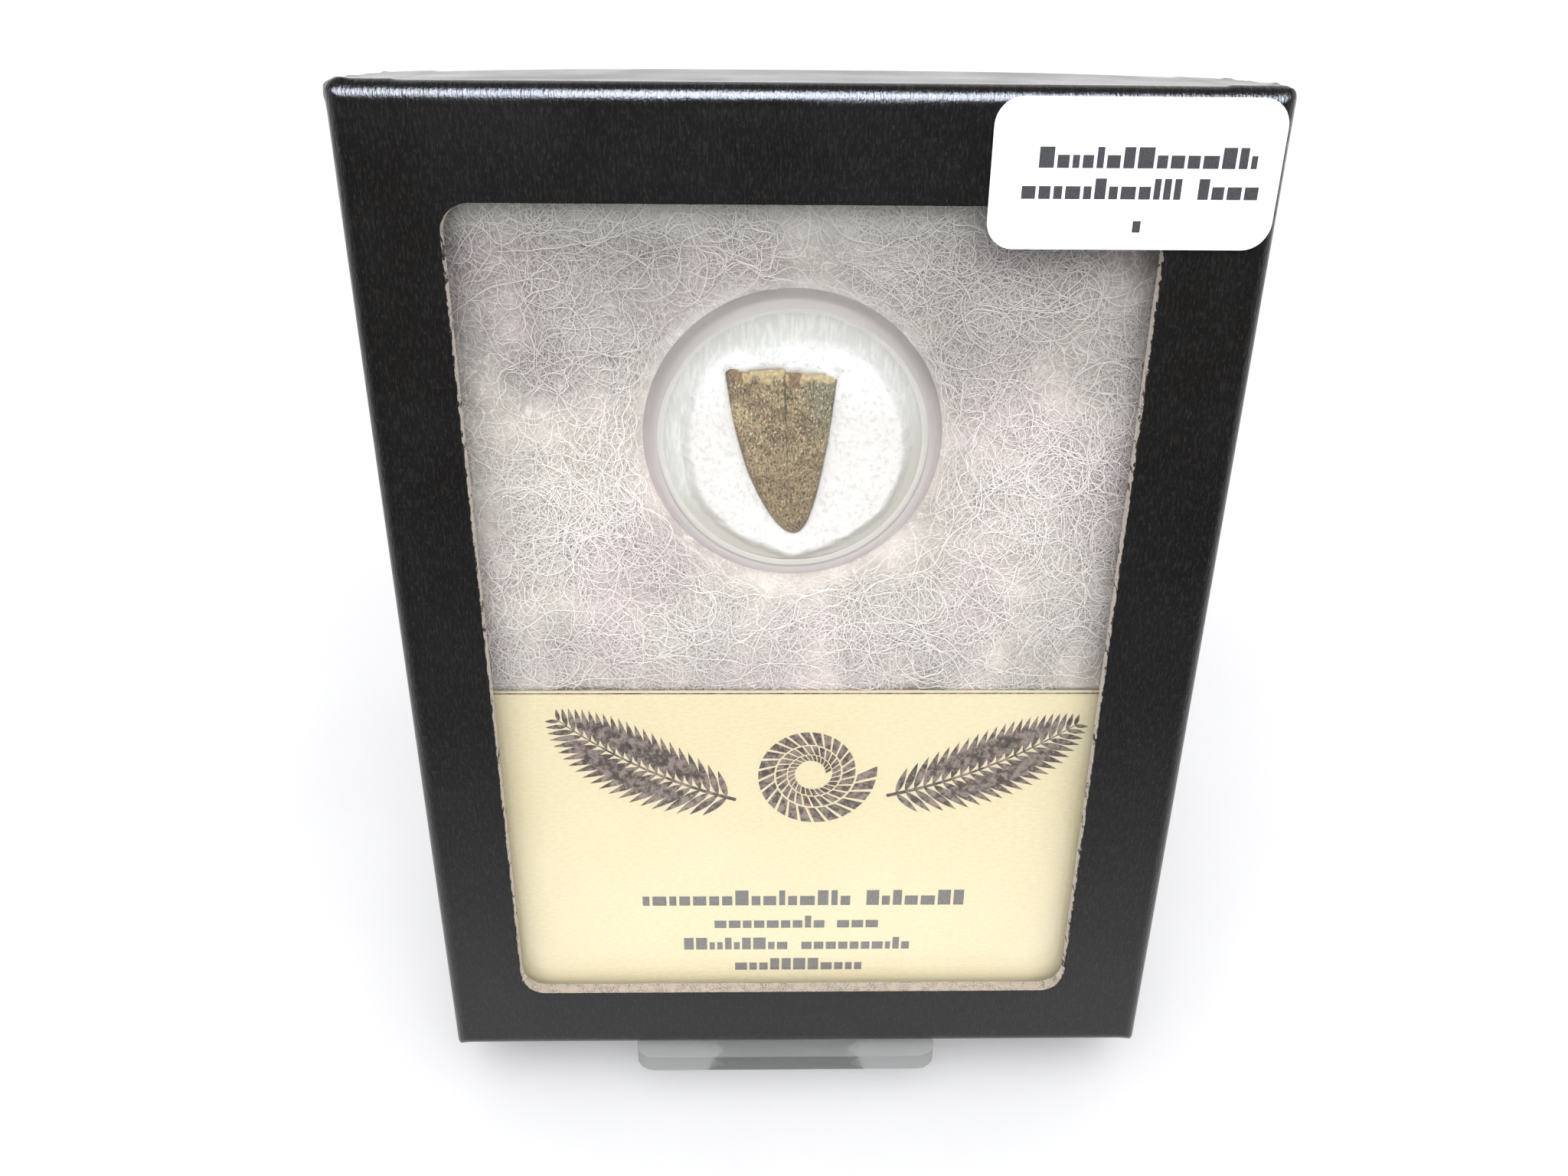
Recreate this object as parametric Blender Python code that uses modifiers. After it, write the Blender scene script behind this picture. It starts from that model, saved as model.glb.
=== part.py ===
"""A fossil crocodile tooth in a small glazed display box, which leans back on a clear acrylic easel.

The box is modelled upright in a frame of its own, in metres: X to the right, Y into the box from the
lid's face, and Z up from the lid's bottom edge. An empty then leans it back and stands it on the floor.
"""

import math

import bmesh
import bpy
from mathutils import Matrix, Vector

# Whole display
LEAN = math.radians(20)
GAP = 0.0003

# Lid: chipboard wrapped in black paper
LID_WIDTH = 0.0825
LID_HEIGHT = 0.1097
LID_DEPTH = 0.0172
BOARD = 0.0015
LID_ROUND = 0.0011
WALL_BULGE = 0.0001
WALL_PINCH = 0.00065
WALL_CUTS = 9
LID_SEGMENTS = 3
WINDOW_LEFT = -0.0329
WINDOW_RIGHT = 0.0317
WINDOW_BOTTOM = 0.0087
WINDOW_TOP = 0.0998
WINDOW_ROUND = 0.0028

# Glass behind the window
GLASS_THICKNESS = 0.0019
GLASS_FRONT = BOARD + GAP
GLASS_BACK = GLASS_FRONT + GLASS_THICKNESS
LID_INNER_WIDTH = LID_WIDTH - 2 * BOARD
LID_INNER_HEIGHT = LID_HEIGHT - 2 * BOARD
GLASS_PLAY = 0.0012

# Tray that slides into the lid
TRAY_PLAY = 0.0022
TRAY_WIDTH = LID_INNER_WIDTH - TRAY_PLAY
TRAY_HEIGHT = LID_INNER_HEIGHT - TRAY_PLAY
TRAY_FRONT = GLASS_BACK + GAP
TRAY_BACK = 0.0190
TRAY_BOARD = 0.0014
TRAY_ROUND = 0.0006
TRAY_SEGMENTS = 2

# Card in front of the wadding
CARD_THICKNESS = 0.0003
CARD_TOP = 0.0482
CARD_PLAY = 0.0006

# Wadding that fills the tray
BATTING_ROUND = 0.0012
BATTING_SEGMENTS = 2

# Jar, whose cap touches the glass
JAR_X = -0.00145
JAR_Z = 0.0766
JAR_FRONT = GLASS_BACK + GAP
CAP_RADIUS = 0.0147
CAP_WALL = 0.0011
CAP_DEPTH = 0.0060
CUP_RADIUS = 0.0142
CUP_NECK_RADIUS = CAP_RADIUS - CAP_WALL - GAP
CUP_INNER_RADIUS = 0.0123
CUP_RIM_DEPTH = 0.0040
CUP_BASE_DEPTH = 0.0122
CUP_FLOOR = 0.0011
JAR_EDGE_ROUND = 0.0004
EDGE_SHOULDER = 0.3
TURNED_STEPS = 48

# Foam in the jar, with a raised middle that sits low in the jar
FOAM_STEM_RADIUS = CUP_INNER_RADIUS - GAP
FOAM_HEAD_RADIUS = CUP_NECK_RADIUS
FOAM_RIM_FRONT = 0.0071
FOAM_LIP = 0.0003
FOAM_RAISED_FRONT = 0.0058
RAISED_X = -0.0010
RAISED_Z = 0.0746
RAISED_RADIUS = 0.0110
RAISED_SLOPE = 0.0012
FOAM_RINGS = (0.0030, 0.0060, 0.0085, 0.0098, 0.0108, 0.0118, 0.0127)

# Tooth, tip down
TOOTH_TIP_X = -0.0011
TOOTH_TIP_Z = 0.0656
TOOTH_LENGTH = 0.0173
TOOTH_HALF_WIDTH = 0.0055
TOOTH_BELLY = 0.00027
TOOTH_FLATNESS = 0.66
TOOTH_SWING = -0.0014
TOOTH_TIP_DEPTH = 0.0083
TOOTH_BASE_DEPTH = 0.0093
TOOTH_RINGS = 22
TOOTH_SIDES = 36
RING_CROWDING = 1.6
RIDGE_HEIGHT = 0.006
RIDGE_COUNT = 9
RIDGE_FADE = 4
BREAK_SLOPE = -0.11
BREAK_REACH = 6
CHIP_WAVES = ((0.000138, 5, 0.6), (0.000112, 11, 2.0))
PULP_DEPTH = 0.0008
PULP_STEPS = ((0.78, 0.15), (0.45, 0.7))
CRACK_DEPTH = 0.00022
CRACK_ANGLE = math.radians(270)
CRACK_SPREAD = math.radians(5)
CRACK_FADE = 2
POCKET_GROW = 0.0004
POCKET_TOP_ROOM = 0.0008
POCKET_BACK = 0.0133
POCKET_STEPS = 10

# Sticker over the window's corner
STICKER_WIDTH = 0.0253
STICKER_HEIGHT = 0.0127
STICKER_LEFT = 0.0154
STICKER_BOTTOM = 0.0962
STICKER_ROUND = 0.0024
STICKER_THICKNESS = 0.0002
STICKER_STEPS = 5

# Easel: a strip of acrylic with a ledge, a panel and a leg
EASEL_THICKNESS = 0.0021
EASEL_WIDTH = 0.0365
EASEL_X = -0.0014
LEDGE_FRONT = 0.0015
PANEL_HEIGHT = 0.0470
LOW_BEND = 0.0023
TOP_BEND = 0.0032
LEG_SPREAD = math.radians(40)
CORNER_ROUND = 0.0022
FOOT_FLAT = 0.00008
BEND_STEPS = 8
CORNER_STEPS = 4

# Larger than the display in every direction, for the cutter below the floor
BELOW_FLOOR = 0.15

# Colours, as linear red, green, blue and alpha
BLACK_PAPER = (0.016, 0.015, 0.014, 1)
WHITE_WADDING = (0.75, 0.74, 0.72, 1)
WHITE_FOAM = (0.88, 0.88, 0.88, 1)
WHITE_STICKER = (0.90, 0.90, 0.90, 1)
CREAM_CARD = (0.93, 0.85, 0.58, 1)
FOSSIL_ENAMEL = (0.30, 0.24, 0.16, 1)
CLEAR = (0.86, 0.87, 0.88, 1)

# Shading: below these angles between faces an edge is smooth
SMOOTH_ANGLE = 40
TOOTH_SMOOTH_ANGLE = 60

# Distance within which two points of a mesh count as one
SAME_POINT = 1e-5


def new_collection(name):
    made = bpy.data.collections.new(name)
    bpy.context.scene.collection.children.link(made)
    return made


def make_material(name, colour, roughness, transmission=0.0, ior=1.5):
    made = bpy.data.materials.new(name)
    made.use_nodes = True
    made.diffuse_color = colour
    shader = made.node_tree.nodes["Principled BSDF"]
    shader.inputs["Base Color"].default_value = colour
    shader.inputs["Roughness"].default_value = roughness
    shader.inputs["Metallic"].default_value = 0.0
    shader.inputs["Transmission Weight"].default_value = transmission
    shader.inputs["IOR"].default_value = ior
    return made


def add_object(name, data, collection, parent, material=None, smooth_angle=SMOOTH_ANGLE):
    """A named object of this mesh or curve, in the display's own frame."""
    made = bpy.data.objects.new(name, data)
    collection.objects.link(made)
    made.parent = parent
    if material:
        data.materials.append(material)
    if isinstance(data, bpy.types.Mesh) and data.polygons:
        data.shade_smooth()
        data.set_sharp_from_angle(angle=math.radians(smooth_angle))
    return made


def add_cutter(name, data, collection, parent):
    made = add_object(name, data, collection, parent)
    made.hide_render = True
    made.display_type = "WIRE"
    return made


def mesh_from(name, bm):
    data = bpy.data.meshes.new(name)
    bmesh.ops.recalc_face_normals(bm, faces=bm.faces)
    bm.to_mesh(data)
    bm.free()
    return data


def cut(target, cutter):
    modifier = target.modifiers.new("Cut " + cutter.name, "BOOLEAN")
    modifier.operation = "DIFFERENCE"
    modifier.solver = "EXACT"
    modifier.object = cutter


def box_mesh(name, low, high):
    """A plain box between two corners."""
    bm = bmesh.new()
    bmesh.ops.create_cube(bm, size=1)
    size = Vector(high) - Vector(low)
    centre = (Vector(high) + Vector(low)) / 2
    bmesh.ops.scale(bm, vec=size, verts=bm.verts)
    bmesh.ops.translate(bm, vec=centre, verts=bm.verts)
    return mesh_from(name, bm)


def arc(centre, radius, start, end, steps):
    """Points of an arc in a plane, with both of its ends."""
    points = []
    for step in range(steps + 1):
        angle = start + (end - start) * step / steps
        points.append((centre[0] + radius * math.cos(angle), centre[1] + radius * math.sin(angle)))
    return points


def rounded_rectangle(left, right, bottom, top, radius, steps=6):
    quarter = math.pi / 2
    corners = (
        ((right - radius, bottom + radius), -quarter),
        ((right - radius, top - radius), 0),
        ((left + radius, top - radius), quarter),
        ((left + radius, bottom + radius), 2 * quarter),
    )
    points = []
    for centre, start in corners:
        points += arc(centre, radius, start, start + quarter, steps)
    return points


def outline_plate(name, outline, front, back):
    """A solid plate of an outline given in X and Z, between two depths."""
    curve = bpy.data.curves.new(name, "CURVE")
    curve.dimensions = "2D"
    curve.fill_mode = "BOTH"
    curve.extrude = (back - front) / 2
    spline = curve.splines.new("POLY")
    spline.points.add(len(outline) - 1)
    for point, (x, z) in zip(spline.points, outline):
        point.co = (x, z, 0, 1)
    spline.use_cyclic_u = True
    guide = bpy.data.objects.new(name, curve)
    bpy.context.scene.collection.objects.link(guide)
    graph = bpy.context.evaluated_depsgraph_get()
    data = bpy.data.meshes.new_from_object(guide.evaluated_get(graph))
    bpy.data.objects.remove(guide)
    bm = bmesh.new()
    bm.from_mesh(data)
    bmesh.ops.remove_doubles(bm, verts=bm.verts, dist=SAME_POINT)
    stand_up = Matrix.Rotation(math.radians(90), 4, "X")
    middle = Matrix.Translation((0, (front + back) / 2, 0))
    bmesh.ops.transform(bm, matrix=middle @ stand_up, verts=bm.verts)
    bmesh.ops.recalc_face_normals(bm, faces=bm.faces)
    bm.to_mesh(data)
    bm.free()
    data.name = name
    return data


def open_box(name, width, height, front, back, open_side):
    """The faces of a box that is open at one of its two large sides."""
    bm = bmesh.new()
    bmesh.ops.create_cube(bm, size=1)
    bmesh.ops.scale(bm, vec=(width, back - front, height), verts=bm.verts)
    bmesh.ops.translate(bm, vec=(0, (front + back) / 2, LID_HEIGHT / 2), verts=bm.verts)
    bm.normal_update()
    opening = [face for face in bm.faces if round(face.normal.y) == open_side]
    bmesh.ops.delete(bm, geom=opening, context="FACES_ONLY")
    weight = bm.edges.layers.float.new("bevel_weight_edge")
    for edge in bm.edges:
        edge[weight] = 1.0 if len(edge.link_faces) == 2 else 0.0
    return bm


def shell(target, thickness, round_width, segments):
    """Thickens an open box inwards and rounds the edges between its sides."""
    solidify = target.modifiers.new("Board", "SOLIDIFY")
    solidify.thickness = thickness
    solidify.offset = -1
    solidify.use_even_offset = True
    bevel = target.modifiers.new("Rounded edges", "BEVEL")
    bevel.limit_method = "WEIGHT"
    bevel.width = round_width
    bevel.segments = segments
    bevel.use_clamp_overlap = False


def make_lid(parts, cutters, frame):
    """Lid whose wall edges bulge between the corners, where the wrapping paper pulls them in."""
    bm = open_box("lid", LID_WIDTH, LID_HEIGHT, 0, LID_DEPTH, open_side=1)
    long_edges = [edge for edge in bm.edges if abs(edge.verts[0].co.y - edge.verts[1].co.y) < LID_DEPTH / 2]
    bmesh.ops.subdivide_edges(bm, edges=long_edges, cuts=WALL_CUTS, use_grid_fill=True)
    half_width = LID_WIDTH / 2
    half_height = LID_HEIGHT / 2
    for vert in bm.verts:
        if vert.co.y < LID_DEPTH / 2:
            continue
        across = vert.co.x / half_width
        along = (vert.co.z - half_height) / half_height
        if half_width - abs(vert.co.x) < SAME_POINT:
            vert.co.x += (WALL_BULGE - WALL_PINCH * abs(along) ** 3) * math.copysign(1, across)
        if half_height - abs(vert.co.z - half_height) < SAME_POINT:
            vert.co.z += (WALL_BULGE - WALL_PINCH * abs(across) ** 3) * math.copysign(1, along)
    black = make_material("Black wrapping paper", BLACK_PAPER, 0.42)
    lid = add_object("lid", mesh_from("lid", bm), parts, frame, black)
    shell(lid, BOARD, LID_ROUND, LID_SEGMENTS)
    outline = rounded_rectangle(WINDOW_LEFT, WINDOW_RIGHT, WINDOW_BOTTOM, WINDOW_TOP, WINDOW_ROUND)
    window = add_cutter("window_cutter", outline_plate("window", outline, -BOARD, 2 * BOARD), cutters, frame)
    cut(lid, window)


def make_glass(parts, frame):
    half_width = (LID_INNER_WIDTH - GLASS_PLAY) / 2
    half_height = (LID_INNER_HEIGHT - GLASS_PLAY) / 2
    low = (-half_width, GLASS_FRONT, LID_HEIGHT / 2 - half_height)
    high = (half_width, GLASS_BACK, LID_HEIGHT / 2 + half_height)
    clear = make_material("Clear glass", CLEAR, 0.02, transmission=1.0, ior=1.52)
    add_object("glass", box_mesh("glass", low, high), parts, frame, clear)


def make_tray(parts, frame):
    bm = open_box("tray", TRAY_WIDTH, TRAY_HEIGHT, TRAY_FRONT, TRAY_BACK, open_side=-1)
    black = make_material("Black tray board", BLACK_PAPER, 0.45)
    tray = add_object("tray", mesh_from("tray", bm), parts, frame, black)
    shell(tray, TRAY_BOARD, TRAY_ROUND, TRAY_SEGMENTS)


def make_batting(parts, cutters, frame):
    """Wadding that fills the tray, with a hollow for the jar and a shelf for the card."""
    half_width = TRAY_WIDTH / 2 - TRAY_BOARD - GAP
    half_height = TRAY_HEIGHT / 2 - TRAY_BOARD - GAP
    low = (-half_width, TRAY_FRONT, LID_HEIGHT / 2 - half_height)
    high = (half_width, TRAY_BACK - TRAY_BOARD - GAP, LID_HEIGHT / 2 + half_height)
    white = make_material("White polyester wadding", WHITE_WADDING, 0.9)
    batting = add_object("batting", box_mesh("batting", low, high), parts, frame, white)
    bevel = batting.modifiers.new("Soft edges", "BEVEL")
    bevel.width = BATTING_ROUND
    bevel.segments = BATTING_SEGMENTS
    shelf_low = (-LID_WIDTH, 0, 0)
    shelf_high = (LID_WIDTH, TRAY_FRONT + CARD_THICKNESS + GAP, CARD_TOP + GAP)
    shelf = add_cutter("card_shelf_cutter", box_mesh("card_shelf", shelf_low, shelf_high), cutters, frame)
    bm = bmesh.new()
    hollow_back = JAR_FRONT + CUP_BASE_DEPTH + GAP
    bmesh.ops.create_cone(
        bm,
        cap_ends=True,
        segments=TURNED_STEPS,
        radius1=CAP_RADIUS + GAP,
        radius2=CAP_RADIUS + GAP,
        depth=2 * hollow_back,
        matrix=Matrix.Translation((JAR_X, 0, JAR_Z)) @ Matrix.Rotation(math.radians(90), 4, "X"),
    )
    hollow = add_cutter("jar_hollow_cutter", mesh_from("jar_hollow", bm), cutters, frame)
    cut(batting, shelf)
    cut(batting, hollow)


def make_card(parts, frame):
    half_width = TRAY_WIDTH / 2 - TRAY_BOARD - CARD_PLAY
    bottom = (LID_HEIGHT - TRAY_HEIGHT) / 2 + TRAY_BOARD + CARD_PLAY
    low = (-half_width, TRAY_FRONT, bottom)
    high = (half_width, TRAY_FRONT + CARD_THICKNESS, CARD_TOP)
    cream = make_material("Cream card", CREAM_CARD, 0.55)
    add_object("label_card", box_mesh("label_card", low, high), parts, frame, cream)


def turned(name, profile, parts, frame, material):
    """A turned piece about the jar's axis. The profile holds radius and depth behind the cap's face."""
    data = bpy.data.meshes.new(name)
    points = [(radius, 0, -depth) for radius, depth in profile]
    data.from_pydata(points, [(i, i + 1) for i in range(len(points) - 1)], [])
    made = add_object(name, data, parts, frame, material)
    made.location = (JAR_X, JAR_FRONT, JAR_Z)
    made.rotation_euler = (math.radians(90), 0, 0)
    screw = made.modifiers.new("Turn", "SCREW")
    screw.steps = TURNED_STEPS
    screw.render_steps = TURNED_STEPS
    screw.use_merge_vertices = True
    screw.merge_threshold = SAME_POINT
    return made


def make_jar(parts, frame):
    clear = make_material("Clear polystyrene", CLEAR, 0.06, transmission=1.0, ior=1.59)
    inner = CAP_RADIUS - CAP_WALL
    edge = JAR_EDGE_ROUND
    shoulder = EDGE_SHOULDER * edge
    cap_edge = [(CAP_RADIUS - edge, 0), (CAP_RADIUS - shoulder, shoulder), (CAP_RADIUS, edge)]
    cap = [(0, 0), *cap_edge, (CAP_RADIUS, CAP_DEPTH), (inner, CAP_DEPTH), (inner, CAP_WALL), (0, CAP_WALL)]
    turned("jar_lid", cap, parts, frame, clear)
    cup = [
        (0, CUP_BASE_DEPTH - CUP_FLOOR),
        (CUP_INNER_RADIUS, CUP_BASE_DEPTH - CUP_FLOOR),
        (CUP_INNER_RADIUS, CUP_RIM_DEPTH),
        (CUP_NECK_RADIUS, CUP_RIM_DEPTH),
        (CUP_NECK_RADIUS, CAP_DEPTH + GAP),
        (CUP_RADIUS, CAP_DEPTH + GAP),
        (CUP_RADIUS, CUP_BASE_DEPTH - edge),
        (CUP_RADIUS - edge, CUP_BASE_DEPTH),
        (0, CUP_BASE_DEPTH),
    ]
    turned("jar_base", cup, parts, frame, clear.copy())


def foam_front(x, z):
    """Depth of the foam's front: its raised middle, lower and flat towards the rim."""
    distance = math.hypot(x - RAISED_X, z - RAISED_Z)
    share = min(max((distance - RAISED_RADIUS + RAISED_SLOPE) / (2 * RAISED_SLOPE), 0), 1)
    blend = share * share * (3 - 2 * share)
    return FOAM_RAISED_FRONT + (FOAM_RIM_FRONT - FOAM_RAISED_FRONT) * blend


def make_foam(parts, cutters, frame):
    """Foam disc whose head spreads over the cup's rim, with a pocket of the tooth's outline."""
    white = make_material("White foam", WHITE_FOAM, 0.95)
    front = FOAM_RIM_FRONT - JAR_FRONT
    shoulder = CUP_RIM_DEPTH - GAP
    back = CUP_BASE_DEPTH - CUP_FLOOR - GAP
    profile = [(0, front)]
    profile += [(radius, front) for radius in FOAM_RINGS]
    profile += [(FOAM_HEAD_RADIUS, front + FOAM_LIP), (FOAM_HEAD_RADIUS, shoulder)]
    profile += [(FOAM_STEM_RADIUS, shoulder), (FOAM_STEM_RADIUS, back), (0, back)]
    guide = turned("foam_profile", profile, cutters, frame, white)
    bpy.context.view_layer.update()
    graph = bpy.context.evaluated_depsgraph_get()
    data = bpy.data.meshes.new_from_object(guide.evaluated_get(graph))
    data.transform(guide.matrix_local)
    bpy.data.objects.remove(guide)
    for vert in data.vertices:
        if abs(vert.co.y - FOAM_RIM_FRONT) < SAME_POINT:
            vert.co.y = foam_front(vert.co.x, vert.co.z)
    data.name = "foam_insert"
    foam = add_object("foam_insert", data, parts, frame)
    left, right = [], []
    for step in range(POCKET_STEPS + 1):
        share = (step / POCKET_STEPS) ** 2
        middle, half_width = tooth_section(share)[:2]
        height = TOOTH_TIP_Z + TOOTH_LENGTH * share
        left.append((middle - half_width - POCKET_GROW, height))
        right.append((middle + half_width + POCKET_GROW, height))
    top = TOOTH_TIP_Z + TOOTH_LENGTH + POCKET_TOP_ROOM
    slope = BREAK_SLOPE * TOOTH_HALF_WIDTH
    outline = [(TOOTH_TIP_X, TOOTH_TIP_Z - POCKET_GROW), *right]
    outline += [(right[-1][0], top + slope), (left[-1][0], top - slope), *reversed(left)]
    pocket = outline_plate("tooth_pocket", outline, 0, POCKET_BACK)
    cut(foam, add_cutter("tooth_pocket_cutter", pocket, cutters, frame))


def tooth_section(share):
    """Middle X, half width, middle depth and half depth of the tooth, from its tip (0) to its base (1)."""
    half_width = TOOTH_HALF_WIDTH * math.sqrt(share) + TOOTH_BELLY * math.sin(math.pi * share)
    middle = TOOTH_TIP_X + TOOTH_SWING * share
    depth = TOOTH_TIP_DEPTH + (TOOTH_BASE_DEPTH - TOOTH_TIP_DEPTH) * share
    return middle, half_width, depth, half_width * TOOTH_FLATNESS


def tooth_side(share, angle):
    """How far the side stands at this angle: low ridges along the tooth and one long crack in front."""
    ridges = RIDGE_HEIGHT * math.cos(RIDGE_COUNT * angle) * min(1, RIDGE_FADE * share)
    off_crack = (angle - CRACK_ANGLE) / CRACK_SPREAD
    crack = math.exp(-off_crack * off_crack) * min(1, CRACK_FADE * share)
    return 1 + ridges - crack * CRACK_DEPTH / TOOTH_HALF_WIDTH


def break_height(x, angle):
    """Rise of the broken base over its mean height: it slopes down to the right, with chips."""
    chips = sum(height * math.sin(count * angle + phase) for height, count, phase in CHIP_WAVES)
    return BREAK_SLOPE * (x - TOOTH_TIP_X - TOOTH_SWING) + chips


def make_tooth(parts, frame):
    """Tooth lofted from flattened rings, closed at the tip and by a hollowed break at the base."""
    bm = bmesh.new()
    tip = bm.verts.new((TOOTH_TIP_X, TOOTH_TIP_DEPTH, TOOTH_TIP_Z))
    rings = []
    for ring in range(1, TOOTH_RINGS + 1):
        share = (ring / TOOTH_RINGS) ** RING_CROWDING
        middle, half_width, depth, half_depth = tooth_section(share)
        around = []
        for side in range(TOOTH_SIDES):
            angle = 2 * math.pi * side / TOOTH_SIDES
            reach = tooth_side(share, angle)
            x = middle + half_width * reach * math.cos(angle)
            y = depth + half_depth * reach * math.sin(angle)
            rise = break_height(x, angle) * share**BREAK_REACH
            around.append(bm.verts.new((x, y, TOOTH_TIP_Z + TOOTH_LENGTH * share + rise)))
        rings.append(around)
    middle, half_width, depth, half_depth = tooth_section(1)
    base = TOOTH_TIP_Z + TOOTH_LENGTH
    for inward, drop in PULP_STEPS:
        around = []
        for side in range(TOOTH_SIDES):
            angle = 2 * math.pi * side / TOOTH_SIDES
            x = middle + half_width * inward * math.cos(angle)
            y = depth + half_depth * inward * math.sin(angle)
            around.append(bm.verts.new((x, y, base + break_height(x, angle) * inward - PULP_DEPTH * drop)))
        rings.append(around)
    pulp = bm.verts.new((middle, depth, base - PULP_DEPTH))
    for side in range(TOOTH_SIDES):
        after = (side + 1) % TOOTH_SIDES
        bm.faces.new((tip, rings[0][after], rings[0][side]))
        bm.faces.new((pulp, rings[-1][side], rings[-1][after]))
        for lower, upper in zip(rings, rings[1:]):
            bm.faces.new((lower[side], lower[after], upper[after], upper[side]))
    fossil = make_material("Fossil enamel", FOSSIL_ENAMEL, 0.6)
    add_object("tooth", mesh_from("tooth", bm), parts, frame, fossil, smooth_angle=TOOTH_SMOOTH_ANGLE)


def make_sticker(parts, frame):
    right = STICKER_LEFT + STICKER_WIDTH
    top = STICKER_BOTTOM + STICKER_HEIGHT
    outline = rounded_rectangle(STICKER_LEFT, right, STICKER_BOTTOM, top, STICKER_ROUND, STICKER_STEPS)
    data = outline_plate("sticker", outline, -GAP - STICKER_THICKNESS, -GAP)
    white = make_material("White sticker", WHITE_STICKER, 0.5)
    add_object("sticker", data, parts, frame, white)


def easel_points():
    """The strip's middle line down to the start of its leg, as (Y, Z), and its low bend's centre."""
    ledge_z = -GAP - EASEL_THICKNESS / 2
    panel_y = TRAY_BACK + GAP + EASEL_THICKNESS / 2
    low_centre = (panel_y - LOW_BEND, ledge_z + LOW_BEND)
    top_centre = (panel_y + TOP_BEND, PANEL_HEIGHT)
    points = [(-LEDGE_FRONT, ledge_z)]
    points += arc(low_centre, LOW_BEND, -math.pi / 2, 0, BEND_STEPS)
    points += arc(top_centre, TOP_BEND, math.pi, LEG_SPREAD, BEND_STEPS)
    return points, low_centre


def to_floor(y, z):
    """Turns a point of the display's frame by the lean, before the display is set down."""
    return y * math.cos(LEAN) + z * math.sin(LEAN), -y * math.sin(LEAN) + z * math.cos(LEAN)


def make_easel(parts, cutters, frame):
    """Bent strip with rounded corners, cut level where its bend and its leg meet the floor."""
    points, low_centre = easel_points()
    floor = to_floor(*low_centre)[1] - LOW_BEND - EASEL_THICKNESS / 2 + FOOT_FLAT
    leg_start = points[-1]
    leg_way = (math.sin(LEG_SPREAD), -math.cos(LEG_SPREAD))
    start_height = to_floor(*leg_start)[1]
    fall = -to_floor(*leg_way)[1]
    leg_length = (start_height - floor) / fall + EASEL_THICKNESS
    points.append((leg_start[0] + leg_way[0] * leg_length, leg_start[1] + leg_way[1] * leg_length))
    stations = []
    for step in range(CORNER_STEPS + 1):
        angle = math.pi / 2 * step / CORNER_STEPS
        along = -LEDGE_FRONT + CORNER_ROUND * (1 - math.cos(angle))
        stations.append(((along, points[0][1]), EASEL_WIDTH / 2 - CORNER_ROUND * (1 - math.sin(angle))))
    stations += [(point, EASEL_WIDTH / 2) for point in points[1:]]
    bm = bmesh.new()
    rows = []
    for (y, z), half_width in stations:
        rows.append([bm.verts.new((EASEL_X + side * half_width, y, z)) for side in (-1, 1)])
    for row, after in zip(rows, rows[1:]):
        bm.faces.new((row[0], row[1], after[1], after[0]))
    clear = make_material("Clear acrylic", CLEAR, 0.03, transmission=1.0, ior=1.49)
    easel = add_object("easel", mesh_from("easel", bm), parts, frame, clear)
    solidify = easel.modifiers.new("Sheet", "SOLIDIFY")
    solidify.thickness = EASEL_THICKNESS
    solidify.offset = 0
    solidify.use_even_offset = True
    below = box_mesh("floor", (-BELOW_FLOOR, -BELOW_FLOOR, -BELOW_FLOOR), (BELOW_FLOOR, BELOW_FLOOR, 0))
    cut(easel, add_cutter("floor_cutter", below, cutters, None))
    return floor


def set_down(frame, floor):
    """Leans the display back, stands it on the floor and centres what it covers there."""
    ledge_front = to_floor(-LEDGE_FRONT, -GAP - EASEL_THICKNESS)[0]
    points = easel_points()[0]
    leg_start = to_floor(*points[-1])
    leg_angle = LEG_SPREAD - LEAN
    leg_back = leg_start[0] + (leg_start[1] - floor) * math.tan(leg_angle)
    foot_back = leg_back + EASEL_THICKNESS / 2 / math.cos(leg_angle)
    frame.rotation_euler = (-LEAN, 0, 0)
    frame.location = (0, -(ledge_front + foot_back) / 2, -floor)


def main():
    for old in list(bpy.data.objects):
        bpy.data.objects.remove(old)
    parts = new_collection("Fossil crocodile tooth display")
    cutters = new_collection("Cutters")
    frame = bpy.data.objects.new("display_frame", None)
    parts.objects.link(frame)
    make_lid(parts, cutters, frame)
    make_glass(parts, frame)
    make_tray(parts, frame)
    make_batting(parts, cutters, frame)
    make_card(parts, frame)
    make_jar(parts, frame)
    make_foam(parts, cutters, frame)
    make_tooth(parts, frame)
    make_sticker(parts, frame)
    floor = make_easel(parts, cutters, frame)
    set_down(frame, floor)


main()
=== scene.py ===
"""Looks of the fossil crocodile tooth display: finishes, wadding fibres, print, floor, light and camera.

Every piece is modelled in the display's own frame, in metres: X to the right, Y into the box from the
lid's face, and Z up from the lid's bottom edge. Its object's matrix then leans it back on the easel.
Among the values, a noise is its scale, detail and roughness, and a span is where a mask starts and where
it ends, and then its values there if they aren't 0 and 1. A tone is a span and a colour, and a layer is a
noise, a span, a stretch if it has one, and a colour. A relief is its depth and its strength. Uneven shapes
are given as height, size, octaves and offset. Colours are linear red, green, blue and alpha.
"""

import math

import bpy
import numpy as np
from mathutils import Euler, Matrix, Vector, noise


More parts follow.
